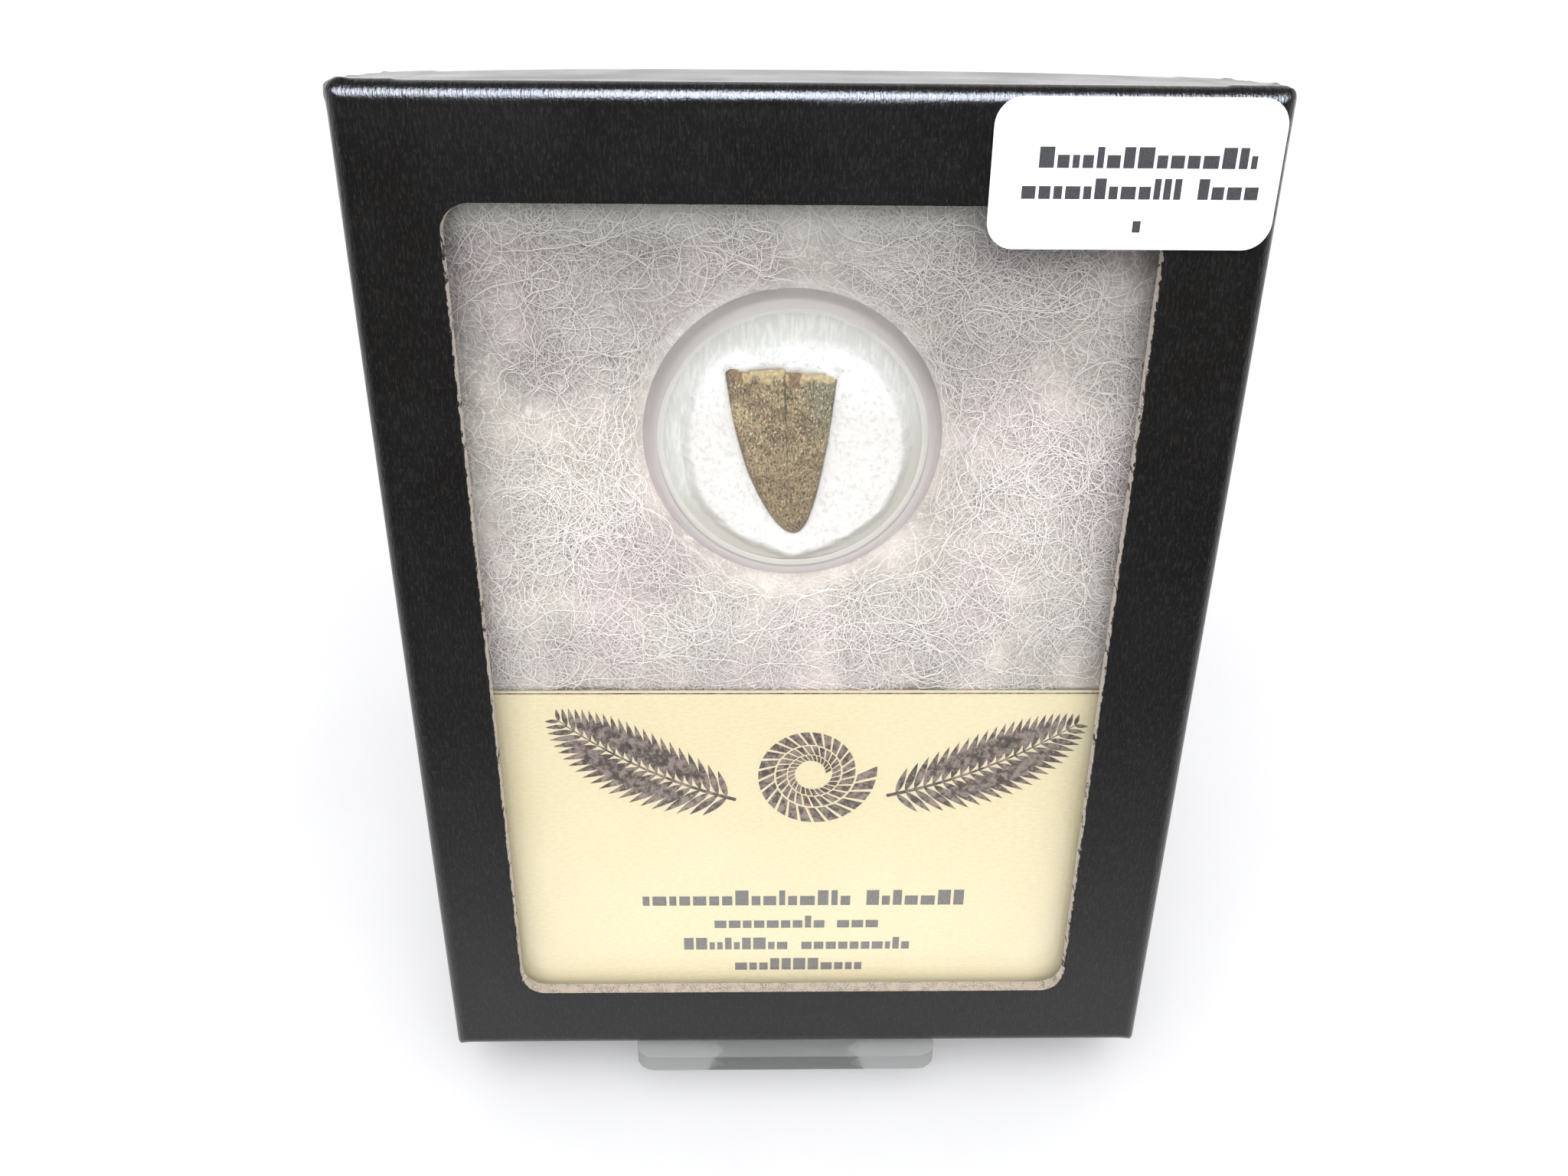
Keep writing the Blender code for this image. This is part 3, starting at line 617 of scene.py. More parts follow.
def ring_body(rings, ends, steps):
    """Points and polygons of a closed body: rings of so many points, with a fan to a point at each end."""
    points = np.concatenate([*rings, np.array(ends)])
    count = len(points) - 2
    sides = grid_faces(count // steps, steps, wrap_columns=True)
    first = fan(count, np.arange(steps), flip=True)
    last = fan(count + 1, np.arange(count - steps, count))
    return points, [sides, first, last]


def upright(flat, depth=0.0):
    """Points given in X and Z, set at one depth or at a depth each."""
    return np.column_stack([flat[:, 0], np.broadcast_to(depth, len(flat)), flat[:, 1]])


def field(points, size, octaves, offset):
    """Smooth noise of a given feature size at each point, about -1 to 1."""
    shift = Vector((offset, offset * 0.7, -offset))
    return np.array([noise.fractal(Vector(p) / size + shift, 1.0, 2.0, octaves) for p in points])


def uneven(points, *layers):
    """Adds up layers of smooth noise at each point, each times its height."""
    return sum(height * field(points, *layer) for height, *layer in layers)


def smooth(low, high, value):
    """Rises smoothly from 0 to 1 as the value goes from low to high."""
    share = np.clip((value - low) / (high - low), 0, 1)
    return share * share * (3 - 2 * share)


def new_material(name):
    """A material, its node tree and the inputs of its shader."""
    made = bpy.data.materials.new(name)
    made.use_nodes = True
    return made, made.node_tree, made.node_tree.nodes["Principled BSDF"].inputs


def plug(tree, socket, value):
    """Links a socket to another, or sets its value."""
    if isinstance(value, bpy.types.NodeSocket):
        tree.links.new(value, socket)
    else:
        socket.default_value = value


def finish(tree, sockets, colour, roughness, normal=None):
    """Sets the shader's colour and roughness, and its normal if one is given."""
    plug(tree, sockets["Base Color"], colour)
    plug(tree, sockets["Roughness"], roughness)
    if normal is not None:
        plug(tree, sockets["Normal"], normal)


def add_node(tree, kind, inputs=(), **settings):
    made = tree.nodes.new(kind)
    for key, value in settings.items():
        setattr(made, key, value)
    for key, value in dict(inputs).items():
        plug(tree, made.inputs[key], value)
    return made


def own_place(tree):
    """The point in the piece's own frame."""
    return add_node(tree, "ShaderNodeTexCoord").outputs["Object"]


def axis_of(tree, vector, axis):
    return add_node(tree, "ShaderNodeSeparateXYZ", {"Vector": vector}).outputs[axis]


def stored(tree, name):
    """The value that store keeps at the piece's points."""
    return add_node(tree, "ShaderNodeAttribute", attribute_name=name).outputs["Fac"]


def stretched(tree, place, scale, turn=(0, 0, 0)):
    inputs = {"Vector": place, "Scale": scale, "Rotation": turn}
    return add_node(tree, "ShaderNodeMapping", inputs).outputs["Vector"]


def noise_at(tree, place, scale, detail=2.0, roughness=0.5, distortion=0.0):
    inputs = {
        "Vector": place,
        "Scale": scale,
        "Detail": detail,
        "Roughness": roughness,
        "Distortion": distortion,
    }
    return add_node(tree, "ShaderNodeTexNoise", inputs).outputs["Fac"]


def calculate(tree, operation, first, second=0.0, third=0.0):
    made = tree.nodes.new("ShaderNodeMath")
    made.operation = operation
    for socket, value in zip(made.inputs, (first, second, third)):
        plug(tree, socket, value)
    return made.outputs[0]


def product(tree, first, second):
    return calculate(tree, "MULTIPLY", first, second)


def without(tree, share):
    """What a share leaves of 1."""
    return calculate(tree, "SUBTRACT", 1.0, share)


def distance_to(tree, value, middle):
    return calculate(tree, "ABSOLUTE", calculate(tree, "SUBTRACT", value, middle))


def ranged(tree, value, low, high, out_low=0.0, out_high=1.0):
    """Maps a value from one range to another, smoothly and held at its ends."""
    inputs = {"Value": value, "From Min": low, "From Max": high, "To Min": out_low, "To Max": out_high}
    made = add_node(tree, "ShaderNodeMapRange", inputs, interpolation_type="SMOOTHSTEP")
    return made.outputs["Result"]


def mixed_number(tree, share, first, second):
    made = add_node(tree, "ShaderNodeMix", data_type="FLOAT")
    for index, value in ((0, share), (2, first), (3, second)):
        plug(tree, made.inputs[index], value)
    return made.outputs[0]


def mixed(tree, share, first, second, blend="MIX"):
    made = add_node(tree, "ShaderNodeMix", data_type="RGBA", blend_type=blend)
    for index, value in ((0, share), (6, first), (7, second)):
        plug(tree, made.inputs[index], value)
    return made.outputs[2]


def shaded(tree, value, base, span, colour):
    """Lays a colour over a base where a value passes a span."""
    return mixed(tree, ranged(tree, value, *span), base, colour)


def layered(tree, place, base, *layers):
    """Lays mottled layers of colour over a base."""
    for setting, span, *stretch, colour in layers:
        where = stretched(tree, place, *stretch) if stretch else place
        base = shaded(tree, noise_at(tree, where, *setting), base, span, colour)
    return base


def bumped(tree, height, distance, strength, under=None):
    inputs = {"Height": height, "Distance": distance, "Strength": strength}
    if under is not None:
        inputs["Normal"] = under
    return add_node(tree, "ShaderNodeBump", inputs).outputs["Normal"]


def paper_material(name, turn=(0, 0, 0)):
    """Black wrapping paper with a fine grain that runs down the box, glossier where it is worn."""
    made, tree, sockets = new_material(name)
    place = stretched(tree, own_place(tree), (1, 1, 1), turn)
    facing = add_node(tree, "ShaderNodeTexCoord").outputs["Normal"]
    on_side = ranged(tree, calculate(tree, "ABSOLUTE", axis_of(tree, facing, "X")), *SIDE_SPAN)
    height = noise_at(tree, place, *PAPER_PEBBLE)
    colour = PAPER_DARK
    for setting, thin, weight, *tone in PAPER_THREADS:
        front = noise_at(tree, stretched(tree, place, (1, thin, thin)), *setting)
        side = noise_at(tree, stretched(tree, place, (thin, 1, thin)), *setting)
        thread = mixed(tree, on_side, front, side)
        height = calculate(tree, "MULTIPLY_ADD", thread, weight, height)
        colour = shaded(tree, thread, colour, *tone)
    worn = stored(tree, "worn")
    height = product(tree, height, calculate(tree, "MULTIPLY_ADD", worn, WORN_RELIEF, 1.0))
    colour = layered(tree, place, colour, PAPER_DUST)
    dull = ranged(tree, noise_at(tree, place, *PAPER_CLOUD), *DULL_SPAN)
    sockets["Specular IOR Level"].default_value = PAPER_SHINE
    dents = noise_at(tree, stretched(tree, place, DENT_STRETCH), *PAPER_DENTS)
    relief = bumped(tree, height, *PAPER_RELIEF, bumped(tree, dents, DENT_DEPTH, worn))
    finish(tree, sockets, colour, mixed_number(tree, worn, dull, WORN_ROUGHNESS), relief)
    return made


def raw_board_material():
    """Cut edge of grey-pink chipboard, with frayed black paper along its front and flecks at its sides."""
    made, tree, sockets = new_material("raw_board_edge")
    place = own_place(tree)
    fine = noise_at(tree, place, *BOARD_FINE)
    board = shaded(tree, fine, BOARD_DARK, *BOARD_LIGHT)
    board = layered(tree, place, board, *BOARD_LAYERS)
    low_side = ranged(tree, axis_of(tree, place, "Z"), *LOW_SIDE_SPAN)
    board = shaded(tree, low_side, board, *BOARD_PALE)
    fleck = noise_at(tree, stretched(tree, place, FLECK_STRETCH), *FLECK_NOISE)
    fleck = product(tree, ranged(tree, fleck, *FLECK_SPAN), without(tree, low_side))
    board = mixed(tree, fleck, board, FLECK_BLACK)
    fray = calculate(tree, "MULTIPLY_ADD", noise_at(tree, place, *FRAY_NOISE), FRAY_HEIGHT, FRAY_BASE)
    fray = mixed_number(tree, low_side, fray, LOW_FRAY)
    torn = calculate(tree, "SUBTRACT", axis_of(tree, place, "Y"), fray)
    board = shaded(tree, torn, FRAY_BLACK, FRAY_SPAN, board)
    finish(tree, sockets, board, BOARD_ROUGHNESS, bumped(tree, fine, *BOARD_RELIEF))
    return made


def clear_material(name, colour, ior, roughness=0.0, haze_scale=0, straight=0.0, clearness=1.0, passed=None):
    """Clear glass or plastic, unevenly hazy where it is rough, which passes some of the light straight on."""
    made, tree, sockets = new_material(name)
    if roughness:
        haze = noise_at(tree, own_place(tree), haze_scale, *HAZE_DETAIL)
        roughness = ranged(tree, haze, *HAZE_SPAN, roughness, HAZE_ROUGHNESS * roughness)
    finish(tree, sockets, colour, roughness)
    sockets["Transmission Weight"].default_value = clearness
    sockets["IOR"].default_value = ior
    shadow = add_node(tree, "ShaderNodeLightPath").outputs["Is Shadow Ray"]
    passing = add_node(tree, "ShaderNodeBsdfTransparent", {"Color": passed or colour}).outputs[0]
    share = calculate(tree, "MAXIMUM", shadow, straight)
    both = tree.nodes.new("ShaderNodeMixShader")
    for socket, value in zip(both.inputs, (share, tree.nodes["Principled BSDF"].outputs[0], passing)):
        plug(tree, socket, value)
    tree.links.new(both.outputs[0], tree.nodes["Material Output"].inputs["Surface"])
    return made


def wadding_material(name, dark, light, top, pad):
    """Polyester wadding: mottled, with painted shade towards the top of the window and painted light at its
    very top; a pad has curling fibre lines and painted light on its shaded slope over the jar too.
    """
    made, tree, sockets = new_material(name)
    place = own_place(tree)
    tone = layered(tree, place, dark, (*WADDING_CLOUD, light))
    hue = layered(tree, place, WADDING_WARM, WADDING_ROSE)
    tone = mixed(tree, 1.0, tone, hue, "MULTIPLY")
    rise = axis_of(tree, place, "Z")
    broad_and_shade = ranged(tree, noise_at(tree, place, *WADDING_BROAD), *BROAD_SPAN)
    # Painted shade darkens the wadding towards the top of the window, on top of its random broad tone
    for span in (OVER_CARD_SPAN, UPPER_PAINTED_SHADE_SPAN):
        broad_and_shade = product(tree, broad_and_shade, ranged(tree, rise, *span))
    level = add_node(tree, "ShaderNodeCombineColor", {0: broad_and_shade, 1: broad_and_shade, 2: broad_and_shade}).outputs[0]
    tone = mixed(tree, 1.0, tone, level, "MULTIPLY")
    # Painted light: the very top of the window is painted paler, where the window's top edge shades it
    tone = shaded(tree, rise, tone, TOP_PAINTED_LIGHT_SPAN, top)
    relief = None
    if pad:
        for scale, width in CURLS:
            off_line = distance_to(tree, noise_at(tree, place, scale, *CURL_DETAIL), 0.5)
            tone = shaded(tree, off_line, tone, (width, 0, 0, CURL_SHARE), CURL_WHITE)
        relief = bumped(tree, noise_at(tree, place, *PAD_RELIEF_NOISE), *PAD_RELIEF)
        inputs = {0: place, 1: (1, 0, 1)}
        flat = add_node(tree, "ShaderNodeVectorMath", inputs, operation="MULTIPLY").outputs[0]
        inputs = {0: flat, 1: (JAR_X, 0, JAR_Z)}
        away = add_node(tree, "ShaderNodeVectorMath", inputs, operation="DISTANCE").outputs["Value"]
        # Painted light: the upper side of the slope down to the jar is painted paler, where it lies in shade
        slope = product(tree, ranged(tree, away, *SLOPE_LIGHT_SPAN), ranged(tree, rise, *SLOPE_LIGHT_RISE_SPAN))
        tone = mixed(tree, slope, tone, SLOPE_PAINTED_LIGHT)
    finish(tree, sockets, tone, WADDING_ROUGHNESS, relief)
    return made


def rounded_outline(left, right, bottom, top, radius, side_steps, corner_steps, low_radius=None):
    """Points and outward directions around a rounded rectangle, from the left end of its bottom side."""
    low = radius if low_radius is None else low_radius
    sides = (
        ((left + low, bottom), (right - low, bottom), side_steps[0]),
        ((right, bottom + low), (right, top - radius), side_steps[1]),
        ((right - radius, top), (left + radius, top), side_steps[0]),
        ((left, top - radius), (left, bottom + low), side_steps[1]),
    )
    points, directions = [], []
    for side, (start, end, steps) in enumerate(sides):
        turn = (side - 1) * math.pi / 2
        out = np.array((math.cos(turn), math.sin(turn)))
        share = np.linspace(0, 1, steps, endpoint=False)[:, None]
        share = share + CORNER_CROWDING * (0.5 - 0.5 * np.cos(math.pi * share) - share)
        points.append(np.array(start) * (1 - share) + np.array(end) * share)
        directions.append(np.repeat(out[None], steps, 0))
        corner = low if side in (0, 3) else radius
        centre = np.array(end) - corner * out
        angle = turn + np.linspace(0, math.pi / 2, corner_steps, endpoint=False)
        around = np.stack([np.cos(angle), np.sin(angle)], 1)
        points.append(centre + corner * around)
        directions.append(around)
    return np.concatenate(points), np.concatenate(directions)


def lid_outline(inset):
    """The lid's outer outline moved in by this much."""
    half = LID_WIDTH / 2 - inset
    sizes = (-half, half, inset, LID_HEIGHT - inset, max(CORNER_ROUND - inset, LEAST_ROUND))
    return rounded_outline(*sizes, *OUTLINE_STEPS, LEAST_ROUND)


def near_top_corners(points):
    """How near points in X and Z are to the lid's two top corners, from 0 to 1."""
    across = smooth(*CRUMPLE_REACH, LID_WIDTH / 2 - np.abs(points[:, 0]))
    return across * smooth(*CRUMPLE_REACH, LID_HEIGHT - points[:, 1])


def wall_push(points, directions, depth):
    """A wall's points at a depth: bowed, pinched at its corners, and with folded paper there."""
    across = np.abs(points[:, 0]) / (LID_WIDTH / 2)
    along = np.abs(points[:, 1] - LID_HEIGHT / 2) / (LID_HEIGHT / 2)
    bow = (WALL_BULGE - WALL_PINCH * np.column_stack([along, across]) ** 3) * depth / LID_DEPTH
    from_side = LID_WIDTH / 2 - np.abs(points[:, 0])
    fold = HORN_HEIGHT * smooth(*HORN_REACH, from_side) * np.clip(-directions[:, 1], 0, 1)
    fold += FLAP_STEP * smooth(*FLAP_REACH, from_side) * np.abs(directions[:, 1])
    lumps = np.clip(field(upright(points, depth), *CRUMPLE_FIELD), 0, 1)
    crumple = CRUMPLE_HEIGHT * near_top_corners(points) * lumps
    folds = np.column_stack([crumple, fold + crumple])
    return points + (bow + folds * smooth(0, EDGE_ROUND, depth)) * directions


def lid_loops(window):
    """Outlines and depths from the window's edge over the face, walls and inside, and the cut's first."""
    face_end = lid_outline(EDGE_ROUND)[0]
    loops = []
    for share in np.linspace(0, 1, FACE_LOOPS) ** FACE_SPACING:
        loops.append((window * (1 - share) + face_end * share, 0.0))
    for turn in np.linspace(0, math.pi / 2, ROUND_LOOPS + 1)[1:]:
        depth = EDGE_ROUND * (1 - math.cos(turn))
        outline, out = lid_outline(EDGE_ROUND * (1 - math.sin(turn)))
        loops.append((wall_push(outline, out, depth), depth))
    outer, out = lid_outline(0)
    for depth in np.linspace(EDGE_ROUND, LID_DEPTH - BACK_EDGE, WALL_LOOPS)[1:]:
        loops.append((wall_push(outer, out, depth), depth))
    back = ((BACK_EDGE, LID_DEPTH), (BOARD - INNER_EDGE, LID_DEPTH), (BOARD, LID_DEPTH - BACK_EDGE))
    for inset, depth in back:
        outline, out = lid_outline(inset)
        loops.append((wall_push(outline, out, LID_DEPTH), depth))
    inner, out = lid_outline(BOARD)
    for depth in np.linspace(LID_DEPTH, BOARD, LINING_LOOPS)[1:]:
        loops.append((inner + (wall_push(outer, out, depth) - outer), depth))
    for share in LINING_SHARES:
        loops.append((inner * (1 - share) + window * share, BOARD))
    cut_from = len(loops) - 1
    for depth in np.linspace(BOARD, 0, CUT_LOOPS)[1:-1]:
        loops.append((window, depth))
    return loops, cut_from


def make_lid():
    """Paper-wrapped lid, lofted over its loops, with the board's cut edge in the window."""
    window, window_out = rounded_outline(*WINDOW, *OUTLINE_STEPS)
    loops, cut_from = lid_loops(window)
    count = len(window)
    points = np.concatenate([upright(outline, depth) for outline, depth in loops])
    face = slice(0, FACE_LOOPS * count)
    points[face, 1] += uneven(points[face], FACE_WAVE)
    points[face, 1] += near_top_corners(points[face][:, [0, 2]]) * uneven(points[face], FACE_COCKLE)
    cut = slice((cut_from + 1) * count, len(points))
    frayed = ((cut, len(loops) - cut_from - 1, CUT_FUZZ), (slice(0, count), 1, LIP_FUZZ))
    for part, rows, fuzz in frayed:
        points[part][:, [0, 2]] += np.tile(window_out, (rows, 1)) * uneven(points[part], *fuzz)[:, None]
    faces = grid_faces(len(loops), count, wrap_rows=True, wrap_columns=True)
    finishes = [paper_material("black_paper"), raw_board_material()]
    lid = build("lid_wrapped", points, [faces], finishes, ["lid"], LID_SMOOTH_ANGLE)
    material_index = np.zeros(len(faces), np.int32)
    material_index[cut_from * count :] = 1
    lid.data.polygons.foreach_set("material_index", material_index)
    worn = np.zeros(len(loops))
    worn[FACE_LOOPS : FACE_LOOPS + ROUND_LOOPS] = np.sqrt(np.linspace(*EDGE_WEAR, ROUND_LOOPS))
    worn[FACE_LOOPS - len(FACE_WEAR) : FACE_LOOPS] = FACE_WEAR
    store(lid, "worn", np.repeat(worn, count))
    lid.data.update()


def bevel_depth(radius):
    """How far behind the jar's front the cap's bevel is at a radius."""
    return BEVEL_DEPTH * (radius - DISC_RADIUS) / (CAP_RADIUS - DISC_RADIUS)


def cap_finish(radius, depth):
    """The finish of a place on the cap: 1 for its clear front disc, 2 for its outside, 0 for its inside."""
    if radius < CLEAR_RADIUS - DISC_MARGIN:
        return 1
    return 2 if radius > CAP_RADIUS - RIM_WIDTH * CAP_WALL or depth < RIM_DEPTH * CAP_WALL else 0


def turned_piece(name, profile, materials, replaces, place_finish=None):
    """A closed piece turned about the jar's axis, from a profile of radius and depth behind its front."""
    radii, depths = np.array(profile[1:-1]).T[:, :, None]
    angle = np.linspace(0, 2 * math.pi, JAR_STEPS, endpoint=False)
    x = JAR_X + radii * np.cos(angle)
    z = JAR_Z + radii * np.sin(angle)
    y = np.broadcast_to(INSIDE_FRONT + depths, x.shape)
    ends = [(JAR_X, INSIDE_FRONT + depth, JAR_Z) for _, depth in (profile[0], profile[-1])]
    points, polygons = ring_body([np.stack([x, y, z], 2).reshape(-1, 3)], ends, JAR_STEPS)
    made = build(name, points, polygons, materials, replaces, JAR_SMOOTH_ANGLE)
    if place_finish:
        for polygon in made.data.polygons:
            from_axis = math.hypot(polygon.center.x - JAR_X, polygon.center.z - JAR_Z)
            polygon.material_index = place_finish(from_axis, polygon.center.y - INSIDE_FRONT)


def rounded_corner(radius, depth, round_by, steps=5):
    """A quarter round of a profile, from its outer side to its back, about the corner's centre."""
    angles = np.linspace(0, math.pi / 2, steps)
    return [(radius + round_by * math.cos(a), depth + round_by * math.sin(a)) for a in angles]


def make_jar():
    """The jar's cap, with a clear disc and a bevelled rim in front, and its cup."""
    wall = clear_material("clear_jar_wall", *JAR_WALL)
    rim = clear_material("clear_jar_rim", *JAR_RIM)
    tree = rim.node_tree
    # Painted shade: the rim's colour darkens towards its top
    tone = shaded(tree, axis_of(tree, own_place(tree), "Z"), JAR_RIM[0], *RIM_TOP_PAINTED_SHADE)
    plug(tree, tree.nodes["Principled BSDF"].inputs["Base Color"], tone)
    disc = clear_material("clear_jar_front", *JAR_FRONT)
    cap = [(0, 0)]
    for share in np.linspace(0, 1, BEVEL_STEPS):
        radius = DISC_RADIUS + (CAP_RADIUS - DISC_RADIUS) * share
        swell = BEVEL_SWELL * math.sin(math.pi * share)
        cap.append((min(radius + swell, CAP_RADIUS), bevel_depth(radius) - swell * (share > 0)))
    cap += rounded_corner(CAP_RADIUS - CAP_EDGE, CAP_DEPTH - CAP_EDGE, CAP_EDGE, 3)
    inner = CAP_RADIUS - CAP_WALL
    cap += [(inner, CAP_DEPTH), (inner, CAP_WALL + CAP_FILLET), (inner - CAP_FILLET, CAP_WALL)]
    cap += [(CLEAR_RADIUS, CAP_WALL), (0, CAP_WALL)]
    turned_piece("jar_cap", cap, [wall, disc, rim], ["jar_lid"], cap_finish)
    floor_depth = CUP_BASE_DEPTH - CUP_FLOOR
    cup = [
        (0, floor_depth),
        (CUP_INNER_RADIUS - CUP_EDGE, floor_depth),
        (CUP_INNER_RADIUS, floor_depth - CUP_EDGE),
        (CUP_INNER_RADIUS, CUP_RIM_DEPTH + CUP_RIM_EDGE),
        (CUP_INNER_RADIUS + CUP_RIM_EDGE, CUP_RIM_DEPTH),
        (CUP_NECK_RADIUS - CUP_RIM_EDGE, CUP_RIM_DEPTH),
        (CUP_NECK_RADIUS, CUP_RIM_DEPTH + CUP_RIM_EDGE),
        (CUP_NECK_RADIUS, CAP_DEPTH + JAR_GAP),
        (CUP_RADIUS, CAP_DEPTH + JAR_GAP),
    ]
    cup += rounded_corner(CUP_RADIUS - CUP_EDGE, CUP_BASE_DEPTH - CUP_EDGE, CUP_EDGE)
    cup += [(0, CUP_BASE_DEPTH)]
    turned_piece("jar_cup", cup, [wall], ["jar_base"])


def tooth_section(share):
    """Middle X, half width and middle depth of the tooth, from its tip (0) to its base (1)."""
    half_width = TOOTH_HALF_WIDTH * np.sqrt(share) + TOOTH_BELLY * np.sin(math.pi * share)
    middle = TIP_X + TOOTH_SWING * share + TOOTH_BOW * np.sin(math.pi * share**BOW_HEIGHT)
    depth = TIP_DEPTH + (BASE_DEPTH - TIP_DEPTH) * share
    return middle, half_width, depth


def rim_rise(x):
    return np.interp(x, RIM_X, RIM_RISE)


def tooth_relief(points, around, up, facing):
    """How far each point of the tooth's side stands out: fine ridges, swells, pits and the front crack."""
    ridges = np.cos(STRIA_COUNT * around + uneven(points, STRIA_WANDER))
    push = STRIA_HEIGHT * ridges * smooth(*STRIA_ZONE, up) + uneven(points, *TOOTH_SWELLS)
    cells = np.array([noise.voronoi(Vector(p) / PIT_SIZE)[0][0] for p in points])
    push -= PIT_DEPTH * smooth(*PIT_EDGE, cells) * smooth(*PIT_ZONE, field(points, *PIT_FIELD))
    crack_x = CRACK_BOTTOM_X + (CRACK_TOP_X - CRACK_BOTTOM_X) * up
    off = (points[:, 0] - crack_x - uneven(points, CRACK_BEND)) / CRACK_WIDTH
    return push - CRACK_DEPTH * np.exp(-off * off) * smooth(CRACK_END, CRACK_FULL, up) * (facing < 0)


def make_tooth():
    """Tooth with its fine ridges, pits, front crack, chipped front rim and slightly hollow base."""
    share = (np.arange(1, TOOTH_RINGS + 1) / TOOTH_RINGS) ** RING_CROWDING
    angle = np.linspace(0, 2 * math.pi, TOOTH_SIDES, endpoint=False)
    angle = angle - FRONT_CROWDING * np.sin(angle - 1.5 * math.pi)
    middle, half_width, depth = (v[:, None] for v in tooth_section(share))
    share = share[:, None]
    flatness = np.where(np.sin(angle) < 0, FRONT_FLATNESS, BACK_FLATNESS)
    x = middle + half_width * np.cos(angle)[None]
    y = depth + half_width * (flatness * np.sin(angle))[None]
    rise = rim_rise(x) - RIM_FALL * np.clip(y - depth, 0, 1)
    z = TIP_Z + TOOTH_LENGTH * share + rise * smooth(*RIM_ZONE, share)
    normal = np.stack([np.cos(angle), np.sin(angle) / flatness], 1)
    normal /= np.linalg.norm(normal, axis=1)[:, None]
    points = np.stack([x, y, z], 2).reshape(-1, 3)
    out = np.tile(normal, (TOOTH_RINGS, 1))
    up = np.repeat(share[:, 0], TOOTH_SIDES)
    push = tooth_relief(points, np.tile(angle, TOOTH_RINGS), up, out[:, 1])
    points[:, :2] += out * push[:, None]
    rings = [points]
    last = points[-TOOTH_SIDES:]
    centre = np.array([middle[-1, 0], depth[-1, 0], 0])
    for inward, drop in BREAK_STEPS:
        inside = centre + (last - centre) * (inward, inward, 1)
        inside[:, 2] -= drop + uneven(inside, BREAK_ROUGHNESS)
        rings.append(inside)
    pulp = (centre[0], centre[1], TIP_Z + TOOTH_LENGTH - PULP_DEPTH)
    points, polygons = ring_body(rings, [(TIP_X, TIP_DEPTH, TIP_Z), pulp], TOOTH_SIDES)
    tooth = build("tooth_fossil", points, polygons, [tooth_material()], ["tooth"])
    outside = points[: len(up)]
    fray = up + uneven(outside, BREAK_FRAY)
    across = outside[:, 0] + uneven(outside, CHIP_WANDER)
    rusty = np.zeros(len(up))
    for start, end, lowest in RUSTY_CHIPS:
        chip = smooth(start, start + CHIP_EDGE, across) * smooth(end, end - CHIP_EDGE, across)
        rusty = np.maximum(rusty, chip * smooth(lowest - CHIP_FRAY, lowest + CHIP_FRAY, fray))
    inner = np.ones(len(BREAK_STEPS) * TOOTH_SIDES)
    store(tooth, "broken", np.concatenate([smooth(*BREAK_ZONE, fray), inner, [0, 1]]))
    store(tooth, "rusty", np.concatenate([rusty, RUSTY_INSIDE * inner, [0, 1]]))


def tooth_material():
    """Speckled fossil enamel: beige-grey, yellower at the broken rim and browner towards the tip."""
    made, tree, sockets = new_material("fossil_enamel")
    place = own_place(tree)
    height = axis_of(tree, place, "Z")
    side = axis_of(tree, place, "X")
    cloud = noise_at(tree, place, *ENAMEL_CLOUD)
    base = shaded(tree, cloud, ENAMEL_DARK, *ENAMEL_LIGHT)
    base = layered(tree, place, base, ENAMEL_STREAKS)
    base = shaded(tree, height, base, *TIP_BROWN)
    stain = ranged(tree, calculate(tree, "MULTIPLY_ADD", cloud, STAIN_SWAY, side), *STAIN_SIDE_SPAN)
    stain = product(tree, stain, ranged(tree, height, *STAIN_RISE_SPAN))
    base = layered(tree, place, mixed(tree, stain, base, STAIN_GREEN), ENAMEL_PALE)
    speckles = []
    for setting, stretch, turn, span, height_span, colour in SPECKLES:
        speckle = ranged(tree, noise_at(tree, stretched(tree, place, stretch, turn), *setting), *span)
        speckles.append(product(tree, speckle, ranged(tree, height, *height_span)))
        base = mixed(tree, speckles[-1], base, colour)
    grain = ranged(tree, noise_at(tree, place, *RIM_GRAIN), *RIM_GRAIN_SPAN)
    for name, share, dark, light in RIM_TONES:
        shown = product(tree, stored(tree, name), share)
        base = mixed(tree, shown, base, mixed(tree, grain, dark, light))
    line = calculate(tree, "MULTIPLY_ADD", height, CRACK_LEAN, CRACK_FOOT)
    line = calculate(tree, "MULTIPLY_ADD", noise_at(tree, place, *CRACK_NOISE), CRACK_WANDER, line)
    crack = ranged(tree, distance_to(tree, side, line), *CRACK_SPAN)
    base = mixed(tree, product(tree, crack, ranged(tree, height, *CRACK_RISE_SPAN)), base, CRACK_BROWN)
    relief = bumped(tree, calculate(tree, "SUBTRACT", *speckles), *SPECKLE_RELIEF)
    finish(tree, sockets, base, ranged(tree, cloud, *ENAMEL_ROUGHNESS), relief)
    return made


def tooth_outline():
    """The tooth's outline seen from the front, as a closed ring of points in X and Z."""
    share = np.linspace(0, 1, OUTLINE_POINTS[0]) ** 2
    middle, half_width, _ = tooth_section(share)
    z = TIP_Z + TOOTH_LENGTH * share
    left = np.column_stack([middle - half_width, z])
    right = np.column_stack([middle + half_width, z])
    x = np.linspace(right[-1, 0], left[-1, 0], OUTLINE_POINTS[1])[1:-1]
    across = (x - middle[-1]) / half_width[-1]
    cover = RIM_COVER * (1 - COVER_FALL * across**2)
    top = np.column_stack([x, TIP_Z + TOOTH_LENGTH + rim_rise(x) - cover])
    return np.concatenate([left[::-1], right[1:], top])


